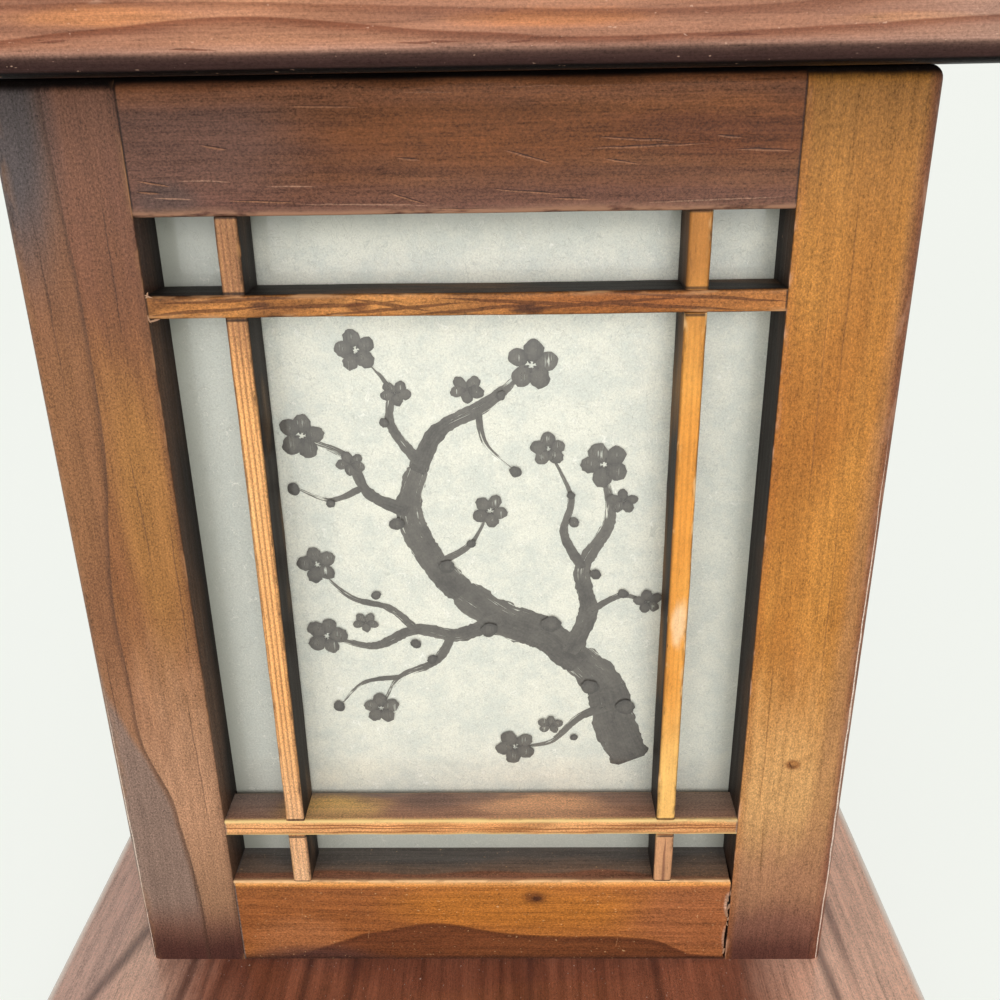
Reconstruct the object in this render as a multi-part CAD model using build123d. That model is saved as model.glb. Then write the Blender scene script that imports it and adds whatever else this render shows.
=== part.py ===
from build123d import *
import os

# Andon floor lamp: a square wooden lantern body of four posts and eight rails,
# mortised together, with a half-lapped lattice before a paper panel on each
# side. It stands on a board, and a loose roof board lies on top, over the bulb.
#
# Frame: millimetres, +Z up, the lamp's front towards -Y. The origin is the
# centre of the base board's underside.
#
# Every side of the body is the front side turned about Z, so its pieces are
# drawn once, at the front: x runs along the side, "depth" is measured from the
# outer face inwards, and "rise" is measured up from the base board's top.

# ---- Driving dimensions: base and roof boards ----
BASE_WIDTH = 304.0
BASE_THICKNESS = 20.0
BASE_TOP_ROUND = 4.0
BASE_FOOT_ROUND = 1.5
ROOF_WIDTH = 336.0
ROOF_THICKNESS = 20.0
ROOF_TOP_ROUND = 7.0
ROOF_UNDER_ROUND = 4.5
BOARD_CORNER_ROUND = 8.0

# ---- Driving dimensions: lantern body ----
BODY_WIDTH = 240.0
BODY_HEIGHT = 293.0
POST_WIDTH = 34.0
FRAME_ROUND = 3.5
TOP_RAIL_HEIGHT = 34.0
BOTTOM_RAIL_HEIGHT = 36.0
RAIL_DEPTH = 28.0

# ---- Driving dimensions: mortise and tenon joints ----
TENON_THICKNESS = 9.0
TENON_LENGTH = 17.0
TENON_FACE_SETBACK = 6.5
TENON_SHOULDER = 6.0
TENON_FIT = 0.1
TENON_END_GAP = 0.5

# ---- Driving dimensions: lattice sticks ----
STICK_WIDTH = 6.2
STICK_DEPTH = 14.5
STICK_ROUND = 0.7
UPRIGHT_OFFSET = 62.0
UPPER_BAR_DROP = 57.5
LOWER_BAR_RISE = 59.0
STUB_LENGTH = 5.0
STUB_THICKNESS = 3.6
STUB_DEPTH = 8.0
STUB_FIT = 0.1
LAP_FIT = 0.05

# ---- Driving dimensions: paper panels and their battens ----
PANEL_SETBACK = 16.5
PANEL_THICKNESS = 1.2
REBATE_WIDTH = 7.0
PANEL_CLEARANCE = 0.5
BATTEN_DEPTH = 8.0
BATTEN_CLEARANCE = 0.2
BATTEN_ROUND = 0.8

# ---- Driving dimensions: what locates the roof ----
ROOF_BATTEN_WIDTH = 14.0
ROOF_BATTEN_THICKNESS = 11.0
ROOF_BATTEN_BEVEL = 1.5
ROOF_BATTEN_CLEARANCE = 1.0
ROOF_SCREW_SPACING = 110.0
ROOF_SCREW_LENGTH = 20.0

# ---- Driving dimensions: screws ----
POST_SCREW_LENGTH = 55.0
POST_SCREW_RADIUS = 2.2
POST_SCREW_HEAD_RADIUS = 4.4
POST_SCREW_WALL = 3.0
SMALL_SCREW_RADIUS = 1.6
SMALL_SCREW_HEAD_RADIUS = 3.2
SCREW_HEAD_RECESS = 0.4
SCREW_FIT = 0.05
DRIVE_SLOT_WIDTH = 1.1
DRIVE_SLOT_DEPTH = 1.0

# ---- Driving dimensions: lamp holder ----
HOLDER_FLANGE_RADIUS = 31.0
HOLDER_FLANGE_HEIGHT = 9.0
HOLDER_NECK_RADIUS = 20.5
HOLDER_HEIGHT = 46.0
HOLDER_MOUTH_RADIUS = 16.0
HOLDER_FLOOR = 14.0
HOLDER_SCREW_CLEARANCE = 0.3
HOLDER_SCREW_LENGTH = 19.0
HOLDER_RIM_BEVEL = 1.5
HOLDER_WAIST_FLARE = 1.5
HOLDER_WAIST_RISE = 9.0
SHELL_THICKNESS = 0.5
SHELL_HEIGHT = 24.0
SHELL_HOLE_RADIUS = 5.5
SHELL_SEAT_FIT = 0.05
CONTACT_WIDTH = 6.0
CONTACT_LENGTH = 9.0
CONTACT_THICKNESS = 1.0
CONTACT_HEIGHT = 4.0

# ---- Driving dimensions: bulb ----
CAP_RADIUS = 13.0
CAP_HEIGHT = 22.0
CAP_BEVEL = 3.0
CAP_CLEARANCE = 0.25
TIP_RADIUS = 4.5
TIP_HEIGHT = 2.2
BULB_NECK_RADIUS = 14.5
BULB_SHOULDER_RADIUS = 27.0
BULB_SHELL_HEIGHT = 34.0
BULB_FLARE_HEIGHT = 28.0
BULB_SHELL_WALL = 2.0
LED_BOARD_THICKNESS = 1.6
LED_BOARD_CLEARANCE = 0.3
GLOBE_RADIUS = 30.0
GLOBE_WALL = 1.5
GLOBE_CENTRE_RISE = 13.0

# ---- Driving dimensions: cord inlet in the back bottom rail ----
INLET_RISE = 15.0
INLET_OFFSET = 60.0
GROMMET_BORE_RADIUS = 3.5
GROMMET_BODY_RADIUS = 5.5
GROMMET_FLANGE_RADIUS = 8.0
GROMMET_FLANGE_THICKNESS = 1.8
GROMMET_FLANGE_BEVEL = 0.6

# ---- Derived places ----
HALF_BODY = BODY_WIDTH / 2
POST_INNER = HALF_BODY - POST_WIDTH
BODY_BOTTOM = BASE_THICKNESS
BODY_TOP = BODY_BOTTOM + BODY_HEIGHT
OPENING_BOTTOM = BODY_BOTTOM + BOTTOM_RAIL_HEIGHT
OPENING_TOP = BODY_TOP - TOP_RAIL_HEIGHT
LOWER_BAR_HEIGHT = BODY_BOTTOM + LOWER_BAR_RISE
UPPER_BAR_HEIGHT = BODY_TOP - UPPER_BAR_DROP
PANEL_BACK = PANEL_SETBACK + PANEL_THICKNESS
RAIL_INNER = HALF_BODY - RAIL_DEPTH
SHELL_INNER_RADIUS = CAP_RADIUS + CAP_CLEARANCE
SHELL_OUTER_RADIUS = SHELL_INNER_RADIUS + SHELL_THICKNESS
HOLDER_CAVITY_FLOOR = BASE_THICKNESS + HOLDER_FLOOR
CONTACT_TOP = HOLDER_CAVITY_FLOOR + SHELL_THICKNESS + CONTACT_HEIGHT
CAP_BOTTOM = CONTACT_TOP + TIP_HEIGHT
CAP_TOP = CAP_BOTTOM + CAP_HEIGHT
BULB_SHELL_TOP = CAP_TOP + BULB_SHELL_HEIGHT

SIDES = ("front", "right", "back", "left")
POSTS = ("front_left", "front_right", "back_right", "back_left")
QUARTER_TURN = 90
NEAR = 1e-3


def block(x_low, x_high, y_low, y_high, z_low, z_high):
    """A box between six planes."""
    return Pos((x_low + x_high) / 2, (y_low + y_high) / 2, (z_low + z_high) / 2) * Box(
        x_high - x_low, y_high - y_low, z_high - z_low
    )


def side_block(x_low, x_high, depth_low, depth_high, z_low, z_high):
    """A box of the front side, placed by its depths behind the outer face."""
    return block(
        x_low, x_high, depth_low - HALF_BODY, depth_high - HALF_BODY, z_low, z_high
    )


def turned(solid, quarters):
    """The same solid on another side of the body, so many quarter turns on."""
    return Rot(0, 0, quarters * QUARTER_TURN) * solid


def across_corner(solid):
    """The mirror image of a solid in the plane through the front left corner."""
    return turned(mirror(solid, Plane.YZ), 3)


def edges_at(solid, **planes):
    """The edges that lie wholly in each given plane, such as Y=-120."""
    found = []
    for edge in solid.edges():
        box = edge.bounding_box()
        spans = {
            "X": (box.min.X, box.max.X),
            "Y": (box.min.Y, box.max.Y),
            "Z": (box.min.Z, box.max.Z),
        }
        if all(
            abs(spans[axis][0] - place) < NEAR and abs(spans[axis][1] - place) < NEAR
            for axis, place in planes.items()
        ):
            found.append(edge)
    return found


def save(name, *solids):
    """Write one node: a solid, or several alike as a group."""
    shape = solids[0] if len(solids) == 1 else Compound(children=list(solids))
    export_step(shape, f"parts/{name}.step")


# ---- Boards ----


def board(width, thickness, z_low, under_round, top_round):
    """A square board with round corners, its upper and lower edges rounded."""
    outline = RectangleRounded(width, width, BOARD_CORNER_ROUND)
    solid = Pos(0, 0, z_low) * extrude(outline, thickness)
    solid = fillet(solid.faces().sort_by(Axis.Z)[-1].edges(), top_round)
    return fillet(solid.faces().sort_by(Axis.Z)[0].edges(), under_round)


def base_board():
    """The board under the body, bored and countersunk for its screws."""
    solid = board(BASE_WIDTH, BASE_THICKNESS, 0, BASE_FOOT_ROUND, BASE_TOP_ROUND)
    for screw in post_screws():
        solid -= screw_bore(screw)
    for screw in holder_screws():
        solid -= screw_bore(screw)
    return solid


def roof_board():
    """The loose board that closes the top of the body."""
    solid = board(ROOF_WIDTH, ROOF_THICKNESS, BODY_TOP, ROOF_UNDER_ROUND, ROOF_TOP_ROUND)
    for screw in roof_batten_screws():
        solid -= screw_bore(screw)
    return solid


# ---- Screws ----


def screw(length, radius, head_radius):
    """A countersunk, slotted wood screw, its head's face at z=0, its tip up."""
    head_height = head_radius - radius
    tip_height = 2 * radius
    outline = Polyline(
        (0, 0),
        (head_radius, 0),
        (radius, head_height),
        (radius, length - tip_height),
        (0, length),
        close=True,
    )
    solid = revolve(Plane.XZ * make_face(outline), Axis.Z)
    slot = block(
        -DRIVE_SLOT_WIDTH / 2,
        DRIVE_SLOT_WIDTH / 2,
        -head_radius,
        head_radius,
        0,
        min(DRIVE_SLOT_DEPTH, head_height),
    )
    return solid - slot


class PlacedScrew:
    """A screw in its place, with what its bore needs."""

    def __init__(self, place, length, radius, head_radius):
        self.place = place
        self.length = length
        self.radius = radius
        self.head_radius = head_radius

    def solid(self):
        """The screw itself."""
        return self.place * screw(self.length, self.radius, self.head_radius)


def screw_bore(placed):
    """The hole and countersink that a placed screw sits in, with its fit."""
    radius = placed.radius + SCREW_FIT
    head_radius = placed.head_radius + SCREW_FIT
    outline = Polyline(
        (0, -2 * SCREW_HEAD_RECESS),
        (head_radius, -2 * SCREW_HEAD_RECESS),
        (head_radius, SCREW_FIT),
        (radius, head_radius - radius + SCREW_FIT),
        (radius, placed.length + SCREW_FIT),
        (0, placed.length + SCREW_FIT),
        close=True,
    )
    return placed.place * revolve(Plane.XZ * make_face(outline), Axis.Z)


def post_screws():
    """The four long screws that come up through the base board into the posts."""
    tenon_back = TENON_FACE_SETBACK + TENON_THICKNESS
    centre = HALF_BODY - tenon_back - POST_SCREW_WALL - POST_SCREW_RADIUS
    return [
        PlacedScrew(
            Pos(x * centre, y * centre, SCREW_HEAD_RECESS),
            POST_SCREW_LENGTH,
            POST_SCREW_RADIUS,
            POST_SCREW_HEAD_RADIUS,
        )
        for x in (-1, 1)
        for y in (-1, 1)
    ]


def holder_screws():
    """The two screws that hold the lamp holder's flange to the base board."""
    face = BASE_THICKNESS + HOLDER_FLANGE_HEIGHT - SCREW_HEAD_RECESS
    waist_foot = HOLDER_NECK_RADIUS + HOLDER_WAIST_FLARE
    offset = waist_foot + HOLDER_SCREW_CLEARANCE + SMALL_SCREW_HEAD_RADIUS
    return [
        PlacedScrew(
            Pos(x * offset, 0, face) * Rot(180, 0, 0),
            HOLDER_SCREW_LENGTH,
            SMALL_SCREW_RADIUS,
            SMALL_SCREW_HEAD_RADIUS,
        )
        for x in (-1, 1)
    ]


def roof_batten_screws():
    """The screws that come up through the roof battens into the roof board."""
    face = BODY_TOP - ROOF_BATTEN_THICKNESS + SCREW_HEAD_RECESS
    return [
        PlacedScrew(
            Pos(x * ROOF_SCREW_SPACING / 2, y * roof_batten_centre(), face),
            ROOF_SCREW_LENGTH,
            SMALL_SCREW_RADIUS,
            SMALL_SCREW_HEAD_RADIUS,
        )
        for y in (-1, 1)
        for x in (-1, 1)
    ]


# ---- Posts and rails ----


def rail_heights(level):
    """The lower and upper edge of the top or bottom rail."""
    if level == "top":
        return OPENING_TOP, BODY_TOP
    return BODY_BOTTOM, OPENING_BOTTOM


def tenon(level, fit=0.0, end_gap=0.0):
    """The tenon at the left end of a front rail, or its mortise with a fit."""
    z_low, z_high = rail_heights(level)
    return side_block(
        -POST_INNER - TENON_LENGTH - end_gap,
        -POST_INNER,
        TENON_FACE_SETBACK - fit,
        TENON_FACE_SETBACK + TENON_THICKNESS + fit,
        z_low + TENON_SHOULDER - fit,
        z_high - TENON_SHOULDER + fit,
    )


def rail(level):
    """A front rail: flush front, rebated back edge and a tenon at each end."""
    z_low, z_high = rail_heights(level)
    solid = side_block(-POST_INNER, POST_INNER, 0, RAIL_DEPTH, z_low, z_high)
    if level == "top":
        solid = fillet(edges_at(solid, Y=-HALF_BODY, Z=BODY_TOP), FRAME_ROUND)
        rebate = (OPENING_TOP, OPENING_TOP + REBATE_WIDTH)
    else:
        rebate = (OPENING_BOTTOM - REBATE_WIDTH, OPENING_BOTTOM)
    solid -= side_block(-POST_INNER, POST_INNER, PANEL_SETBACK, RAIL_DEPTH, *rebate)
    for end in (tenon(level), mirror(tenon(level), Plane.YZ)):
        solid += end
    for x in (-UPRIGHT_OFFSET, UPRIGHT_OFFSET):
        for stub in upright_stubs(STUB_FIT):
            solid -= Pos(x, 0, 0) * stub
    return solid


def back_bottom_rail():
    """The back bottom rail, bored for the cord's grommet."""
    return turned(rail("bottom"), SIDES.index("back")) - inlet_bore()


def post():
    """The front left post, mortised and rebated for the two sides it joins."""
    solid = block(
        -HALF_BODY, -POST_INNER, -HALF_BODY, -POST_INNER, BODY_BOTTOM, BODY_TOP
    )
    arrises = edges_at(solid, X=-HALF_BODY, Y=-HALF_BODY)
    arrises += edges_at(solid, X=-HALF_BODY, Z=BODY_TOP)
    arrises += edges_at(solid, Y=-HALF_BODY, Z=BODY_TOP)
    solid = fillet(arrises, FRAME_ROUND)
    cuts = [tenon(level, TENON_FIT, TENON_END_GAP) for level in ("top", "bottom")]
    cuts.append(
        side_block(
            -POST_INNER - REBATE_WIDTH,
            -POST_INNER,
            PANEL_SETBACK,
            POST_WIDTH,
            OPENING_BOTTOM - REBATE_WIDTH,
            OPENING_TOP + REBATE_WIDTH,
        )
    )
    for height in (LOWER_BAR_HEIGHT, UPPER_BAR_HEIGHT):
        cuts.append(Pos(0, 0, height) * bar_stub(STUB_FIT))
    for cut in cuts:
        solid -= cut
        solid -= across_corner(cut)
    for screw_in_post in post_screws():
        solid -= screw_bore(screw_in_post)
    return solid


# ---- Lattice ----


def bar_stub(fit=0.0):
    """The stub tenon at a bar's left end, at height 0, or its socket."""
    middle = STICK_DEPTH / 2
    return side_block(
        -POST_INNER - STUB_LENGTH - fit,
        -POST_INNER,
        middle - STUB_DEPTH / 2 - fit,
        middle + STUB_DEPTH / 2 + fit,
        -STUB_THICKNESS / 2 - fit,
        STUB_THICKNESS / 2 + fit,
    )


def upright_stubs(fit=0.0):
    """The stub tenons at an upright's ends, at x=0, or their sockets."""
    middle = STICK_DEPTH / 2
    across = (-STUB_THICKNESS / 2 - fit, STUB_THICKNESS / 2 + fit)
    depths = (middle - STUB_DEPTH / 2 - fit, middle + STUB_DEPTH / 2 + fit)
    return [
        side_block(*across, *depths, OPENING_BOTTOM - STUB_LENGTH - fit, OPENING_BOTTOM),
        side_block(*across, *depths, OPENING_TOP, OPENING_TOP + STUB_LENGTH + fit),
    ]


def lattice_bar():
    """A horizontal stick at height 0, notched behind where it laps the uprights."""
    half = STICK_WIDTH / 2
    solid = side_block(-POST_INNER, POST_INNER, 0, STICK_DEPTH, -half, half)
    fronts = edges_at(solid, Y=-HALF_BODY, Z=-half) + edges_at(solid, Y=-HALF_BODY, Z=half)
    solid = fillet(fronts, STICK_ROUND)
    for end in (bar_stub(), mirror(bar_stub(), Plane.YZ)):
        solid += end
    for x in (-UPRIGHT_OFFSET, UPRIGHT_OFFSET):
        solid -= side_block(
            x - half - LAP_FIT,
            x + half + LAP_FIT,
            STICK_DEPTH / 2 - LAP_FIT,
            STICK_DEPTH,
            -half,
            half,
        )
    return solid


def lattice_upright():
    """A vertical stick at x=0, notched in front where the bars lap over it."""
    half = STICK_WIDTH / 2
    solid = side_block(-half, half, 0, STICK_DEPTH, OPENING_BOTTOM, OPENING_TOP)
    fronts = edges_at(solid, Y=-HALF_BODY, X=-half) + edges_at(solid, Y=-HALF_BODY, X=half)
    solid = fillet(fronts, STICK_ROUND)
    for end in upright_stubs():
        solid += end
    for height in (LOWER_BAR_HEIGHT, UPPER_BAR_HEIGHT):
        solid -= side_block(
            -half,
            half,
            0,
            STICK_DEPTH / 2 + LAP_FIT,
            height - half - LAP_FIT,
            height + half + LAP_FIT,
        )
    return solid


# ---- Paper panels ----


def paper_panel():
    """A stiff sheet of laminated paper, lying in the rebates of its side."""
    reach = REBATE_WIDTH - PANEL_CLEARANCE
    return side_block(
        -POST_INNER - reach,
        POST_INNER + reach,
        PANEL_SETBACK,
        PANEL_BACK,
        OPENING_BOTTOM - reach,
        OPENING_TOP + reach,
    )


def panel_battens():
    """Four thin battens in the rebates, which hold the panel from inside."""
    outer_x = POST_INNER + REBATE_WIDTH
    inner_x = outer_x - REBATE_WIDTH + BATTEN_CLEARANCE
    low = OPENING_BOTTOM - REBATE_WIDTH
    high = OPENING_TOP + REBATE_WIDTH
    width = REBATE_WIDTH - BATTEN_CLEARANCE
    depths = (PANEL_BACK, PANEL_BACK + BATTEN_DEPTH)
    long_ends = (-outer_x + width + BATTEN_CLEARANCE, outer_x - width - BATTEN_CLEARANCE)
    battens = [
        side_block(*long_ends, *depths, low, low + width),
        side_block(*long_ends, *depths, high - width, high),
        side_block(-outer_x, -inner_x, *depths, low, high),
        side_block(inner_x, outer_x, *depths, low, high),
    ]
    back = PANEL_BACK + BATTEN_DEPTH - HALF_BODY
    return [eased_batten(batten, back) for batten in battens]


def eased_batten(batten, back):
    """A batten with its long inner arrises rounded."""
    long_edges = [edge for edge in edges_at(batten, Y=back) if edge.length > REBATE_WIDTH]
    return fillet(long_edges, BATTEN_ROUND)


# ---- Roof battens ----


def roof_batten_centre():
    """How far each roof batten's middle lies from the lamp's middle."""
    return RAIL_INNER - ROOF_BATTEN_CLEARANCE - ROOF_BATTEN_WIDTH / 2


def roof_batten(side):
    """A bar under the roof board that drops inside a rail and locates the roof."""
    centre = side * roof_batten_centre()
    half_length = POST_INNER - ROOF_BATTEN_CLEARANCE
    solid = block(
        -half_length,
        half_length,
        centre - ROOF_BATTEN_WIDTH / 2,
        centre + ROOF_BATTEN_WIDTH / 2,
        BODY_TOP - ROOF_BATTEN_THICKNESS,
        BODY_TOP,
    )
    solid = chamfer(edges_at(solid, Z=BODY_TOP - ROOF_BATTEN_THICKNESS), ROOF_BATTEN_BEVEL)
    for screw_in_batten in roof_batten_screws():
        solid -= screw_bore(screw_in_batten)
    return solid


# ---- Lamp holder ----


def holder_body():
    """The glazed holder: a screwed-down flange, a flared waist and a hollow neck."""
    rise = BASE_THICKNESS
    flange_top = rise + HOLDER_FLANGE_HEIGHT
    top = rise + HOLDER_HEIGHT
    bevel = HOLDER_RIM_BEVEL
    profile = Polyline(
        (0, rise),
        (HOLDER_FLANGE_RADIUS, rise),
        (HOLDER_FLANGE_RADIUS, flange_top - bevel),
        (HOLDER_FLANGE_RADIUS - bevel, flange_top),
        (HOLDER_NECK_RADIUS + HOLDER_WAIST_FLARE, flange_top),
        (HOLDER_NECK_RADIUS, flange_top + HOLDER_WAIST_RISE),
        (HOLDER_NECK_RADIUS, top - bevel),
        (HOLDER_NECK_RADIUS - bevel, top),
        (0, top),
        close=True,
    )
    solid = revolve(Plane.XZ * make_face(profile), Axis.Z)
    solid -= holder_cavity()
    for screw_in_holder in holder_screws():
        solid -= screw_bore(screw_in_holder)
    return solid


def holder_cavity():
    """The holder's hollow: a seat for the metal shell and a wider mouth."""
    seat = Cylinder(
        SHELL_OUTER_RADIUS + SHELL_SEAT_FIT,
        HOLDER_HEIGHT,
        align=(Align.CENTER, Align.CENTER, Align.MIN),
    )
    mouth_rise = HOLDER_FLOOR + SHELL_HEIGHT
    mouth = Cylinder(
        HOLDER_MOUTH_RADIUS,
        HOLDER_HEIGHT - mouth_rise,
        align=(Align.CENTER, Align.CENTER, Align.MIN),
    )
    return Pos(0, 0, HOLDER_CAVITY_FLOOR) * seat + Pos(0, 0, BASE_THICKNESS + mouth_rise) * mouth


def socket_shell():
    """The metal cup that the bulb's cap screws into, open round its contact."""
    outline = Polyline(
        (SHELL_HOLE_RADIUS, 0),
        (SHELL_OUTER_RADIUS, 0),
        (SHELL_OUTER_RADIUS, SHELL_HEIGHT),
        (SHELL_INNER_RADIUS, SHELL_HEIGHT),
        (SHELL_INNER_RADIUS, SHELL_THICKNESS),
        (SHELL_HOLE_RADIUS, SHELL_THICKNESS),
        close=True,
    )
    return Pos(0, 0, HOLDER_CAVITY_FLOOR) * revolve(Plane.XZ * make_face(outline), Axis.Z)


def centre_contact():
    """The bent strip on the holder's floor that meets the bulb's tip."""
    half_length = CONTACT_LENGTH / 2
    top = CONTACT_TOP - HOLDER_CAVITY_FLOOR
    outline = Polyline(
        (-half_length, 0),
        (half_length, 0),
        (half_length, CONTACT_THICKNESS),
        (-half_length + 2 * CONTACT_THICKNESS, CONTACT_THICKNESS),
        (-half_length + 2 * CONTACT_THICKNESS, top - CONTACT_THICKNESS),
        (half_length, top - CONTACT_THICKNESS),
        (half_length, top),
        (-half_length, top),
        close=True,
    )
    strip = extrude(Plane.XZ * make_face(outline), CONTACT_WIDTH / 2, both=True)
    return Pos(0, 0, HOLDER_CAVITY_FLOOR) * strip


# ---- Bulb ----


def bulb_tip():
    """The metal button under the bulb's cap."""
    solid = Cylinder(TIP_RADIUS, TIP_HEIGHT, align=(Align.CENTER, Align.CENTER, Align.MIN))
    bottom = solid.edges().filter_by(GeomType.CIRCLE).sort_by(Axis.Z)[0]
    return Pos(0, 0, CONTACT_TOP) * chamfer(bottom, TIP_HEIGHT / 2)


def bulb_cap():
    """The bulb's screw cap, tapered at its foot."""
    outline = Polyline(
        (0, 0),
        (CAP_RADIUS - CAP_BEVEL, 0),
        (CAP_RADIUS, CAP_BEVEL),
        (CAP_RADIUS, CAP_HEIGHT),
        (0, CAP_HEIGHT),
        close=True,
    )
    return Pos(0, 0, CAP_BOTTOM) * revolve(Plane.XZ * make_face(outline), Axis.Z)


def bulb_shell_solid(inset, height):
    """The flared shell's form with its wall drawn in by an inset."""
    outline = Polyline(
        (0, 0),
        (BULB_NECK_RADIUS - inset, 0),
        (BULB_SHOULDER_RADIUS - inset, min(BULB_FLARE_HEIGHT, height)),
        (BULB_SHOULDER_RADIUS - inset, height),
        (0, height),
        close=True,
    )
    return revolve(Plane.XZ * make_face(outline), Axis.Z)


def bulb_shell():
    """The bulb's flared white shell: a thin wall under a recess for the board."""
    board_seat = BULB_SHELL_HEIGHT - LED_BOARD_THICKNESS
    hollow = bulb_shell_solid(BULB_SHELL_WALL, board_seat - BULB_SHELL_WALL)
    recess = Pos(0, 0, board_seat) * Cylinder(
        led_board_radius() + LED_BOARD_CLEARANCE,
        LED_BOARD_THICKNESS,
        align=(Align.CENTER, Align.CENTER, Align.MIN),
    )
    return Pos(0, 0, CAP_TOP) * (bulb_shell_solid(0, BULB_SHELL_HEIGHT) - hollow - recess)


def led_board_radius():
    """The board's radius: it lies inside the globe's foot."""
    globe_inner = GLOBE_RADIUS - GLOBE_WALL
    foot = (globe_inner**2 - GLOBE_CENTRE_RISE**2) ** 0.5
    return min(foot, BULB_SHOULDER_RADIUS - BULB_SHELL_WALL) - 2 * LED_BOARD_CLEARANCE


def led_board():
    """The round metal board that carries the light's chips."""
    return Pos(0, 0, BULB_SHELL_TOP - LED_BOARD_THICKNESS) * Cylinder(
        led_board_radius(),
        LED_BOARD_THICKNESS,
        align=(Align.CENTER, Align.CENTER, Align.MIN),
    )


def bulb_globe():
    """The bulb's frosted globe, open where it sits on the shell."""
    centre = BULB_SHELL_TOP + GLOBE_CENTRE_RISE
    solid = Pos(0, 0, centre) * (Sphere(GLOBE_RADIUS) - Sphere(GLOBE_RADIUS - GLOBE_WALL))
    return solid & block(
        -GLOBE_RADIUS,
        GLOBE_RADIUS,
        -GLOBE_RADIUS,
        GLOBE_RADIUS,
        BULB_SHELL_TOP,
        centre + GLOBE_RADIUS,
    )


# ---- Cord inlet ----


def inlet_axis():
    """The inlet's place: on the back rail's outer face, pointing out."""
    return Pos(INLET_OFFSET, HALF_BODY, BODY_BOTTOM + INLET_RISE) * Rot(-90, 0, 0)


def inlet_bore():
    """The hole through the back bottom rail."""
    hole = Cylinder(
        GROMMET_BODY_RADIUS, RAIL_DEPTH, align=(Align.CENTER, Align.CENTER, Align.MAX)
    )
    return inlet_axis() * hole


def cord_grommet():
    """The rubber bush that lines the hole, with a flange on each face."""
    flange = GROMMET_FLANGE_THICKNESS
    bevel = GROMMET_FLANGE_BEVEL
    outline = Polyline(
        (GROMMET_BORE_RADIUS, flange),
        (GROMMET_FLANGE_RADIUS - bevel, flange),
        (GROMMET_FLANGE_RADIUS, flange - bevel),
        (GROMMET_FLANGE_RADIUS, 0),
        (GROMMET_BODY_RADIUS, 0),
        (GROMMET_BODY_RADIUS, -RAIL_DEPTH),
        (GROMMET_FLANGE_RADIUS, -RAIL_DEPTH),
        (GROMMET_FLANGE_RADIUS, bevel - RAIL_DEPTH - flange),
        (GROMMET_FLANGE_RADIUS - bevel, -RAIL_DEPTH - flange),
        (GROMMET_BORE_RADIUS, -RAIL_DEPTH - flange),
        close=True,
    )
    return inlet_axis() * revolve(Plane.XZ * make_face(outline), Axis.Z)


# ---- The lamp ----


def save_body():
    """Write the posts, rails, lattices, panels and battens."""
    for quarters, name in enumerate(POSTS):
        save(f"{name}_post", turned(post(), quarters))
    for quarters, side in enumerate(SIDES):
        save(f"{side}_top_rail", turned(rail("top"), quarters))
        if side != "back":
            save(f"{side}_bottom_rail", turned(rail("bottom"), quarters))
        save(f"{side}_upper_bar", turned(Pos(0, 0, UPPER_BAR_HEIGHT) * lattice_bar(), quarters))
        save(f"{side}_lower_bar", turned(Pos(0, 0, LOWER_BAR_HEIGHT) * lattice_bar(), quarters))
        for hand, x in (("left", -UPRIGHT_OFFSET), ("right", UPRIGHT_OFFSET)):
            save(f"{side}_{hand}_upright", turned(Pos(x, 0, 0) * lattice_upright(), quarters))
        save(f"{side}_paper_panel", turned(paper_panel(), quarters))
        save(f"{side}_panel_battens", *[turned(batten, quarters) for batten in panel_battens()])
    save("back_bottom_rail", back_bottom_rail())
    save("cord_grommet", cord_grommet())


def save_boards():
    """Write the base board, the roof and their screws."""
    save("base_board", base_board())
    save("post_screws", *[placed.solid() for placed in post_screws()])
    save("roof_board", roof_board())
    save("front_roof_batten", roof_batten(-1))
    save("back_roof_batten", roof_batten(1))
    save("roof_batten_screws", *[placed.solid() for placed in roof_batten_screws()])


def save_light():
    """Write the lamp holder and the bulb."""
    save("holder_body", holder_body())
    save("holder_screws", *[placed.solid() for placed in holder_screws()])
    save("socket_shell", socket_shell())
    save("centre_contact", centre_contact())
    save("bulb_tip", bulb_tip())
    save("bulb_cap", bulb_cap())
    save("bulb_shell", bulb_shell())
    save("led_board", led_board())
    save("bulb_globe", bulb_globe())


os.makedirs("parts", exist_ok=True)
save_body()
save_boards()
save_light()
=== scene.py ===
"""The looks of an andon floor lamp: stained wood, laminated paper, ink, glaze and metal on a CAD frame."""

import logging
import random
from dataclasses import dataclass, field, replace
from enum import Enum
from functools import reduce
from math import asin, ceil, copysign, cos, degrees, hypot, pi, radians, sin, sqrt, tau
from typing import Any, Callable, Iterable, Iterator, Protocol, Sequence

import bmesh
import bpy
from mathutils import Matrix, Vector, noise


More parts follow.
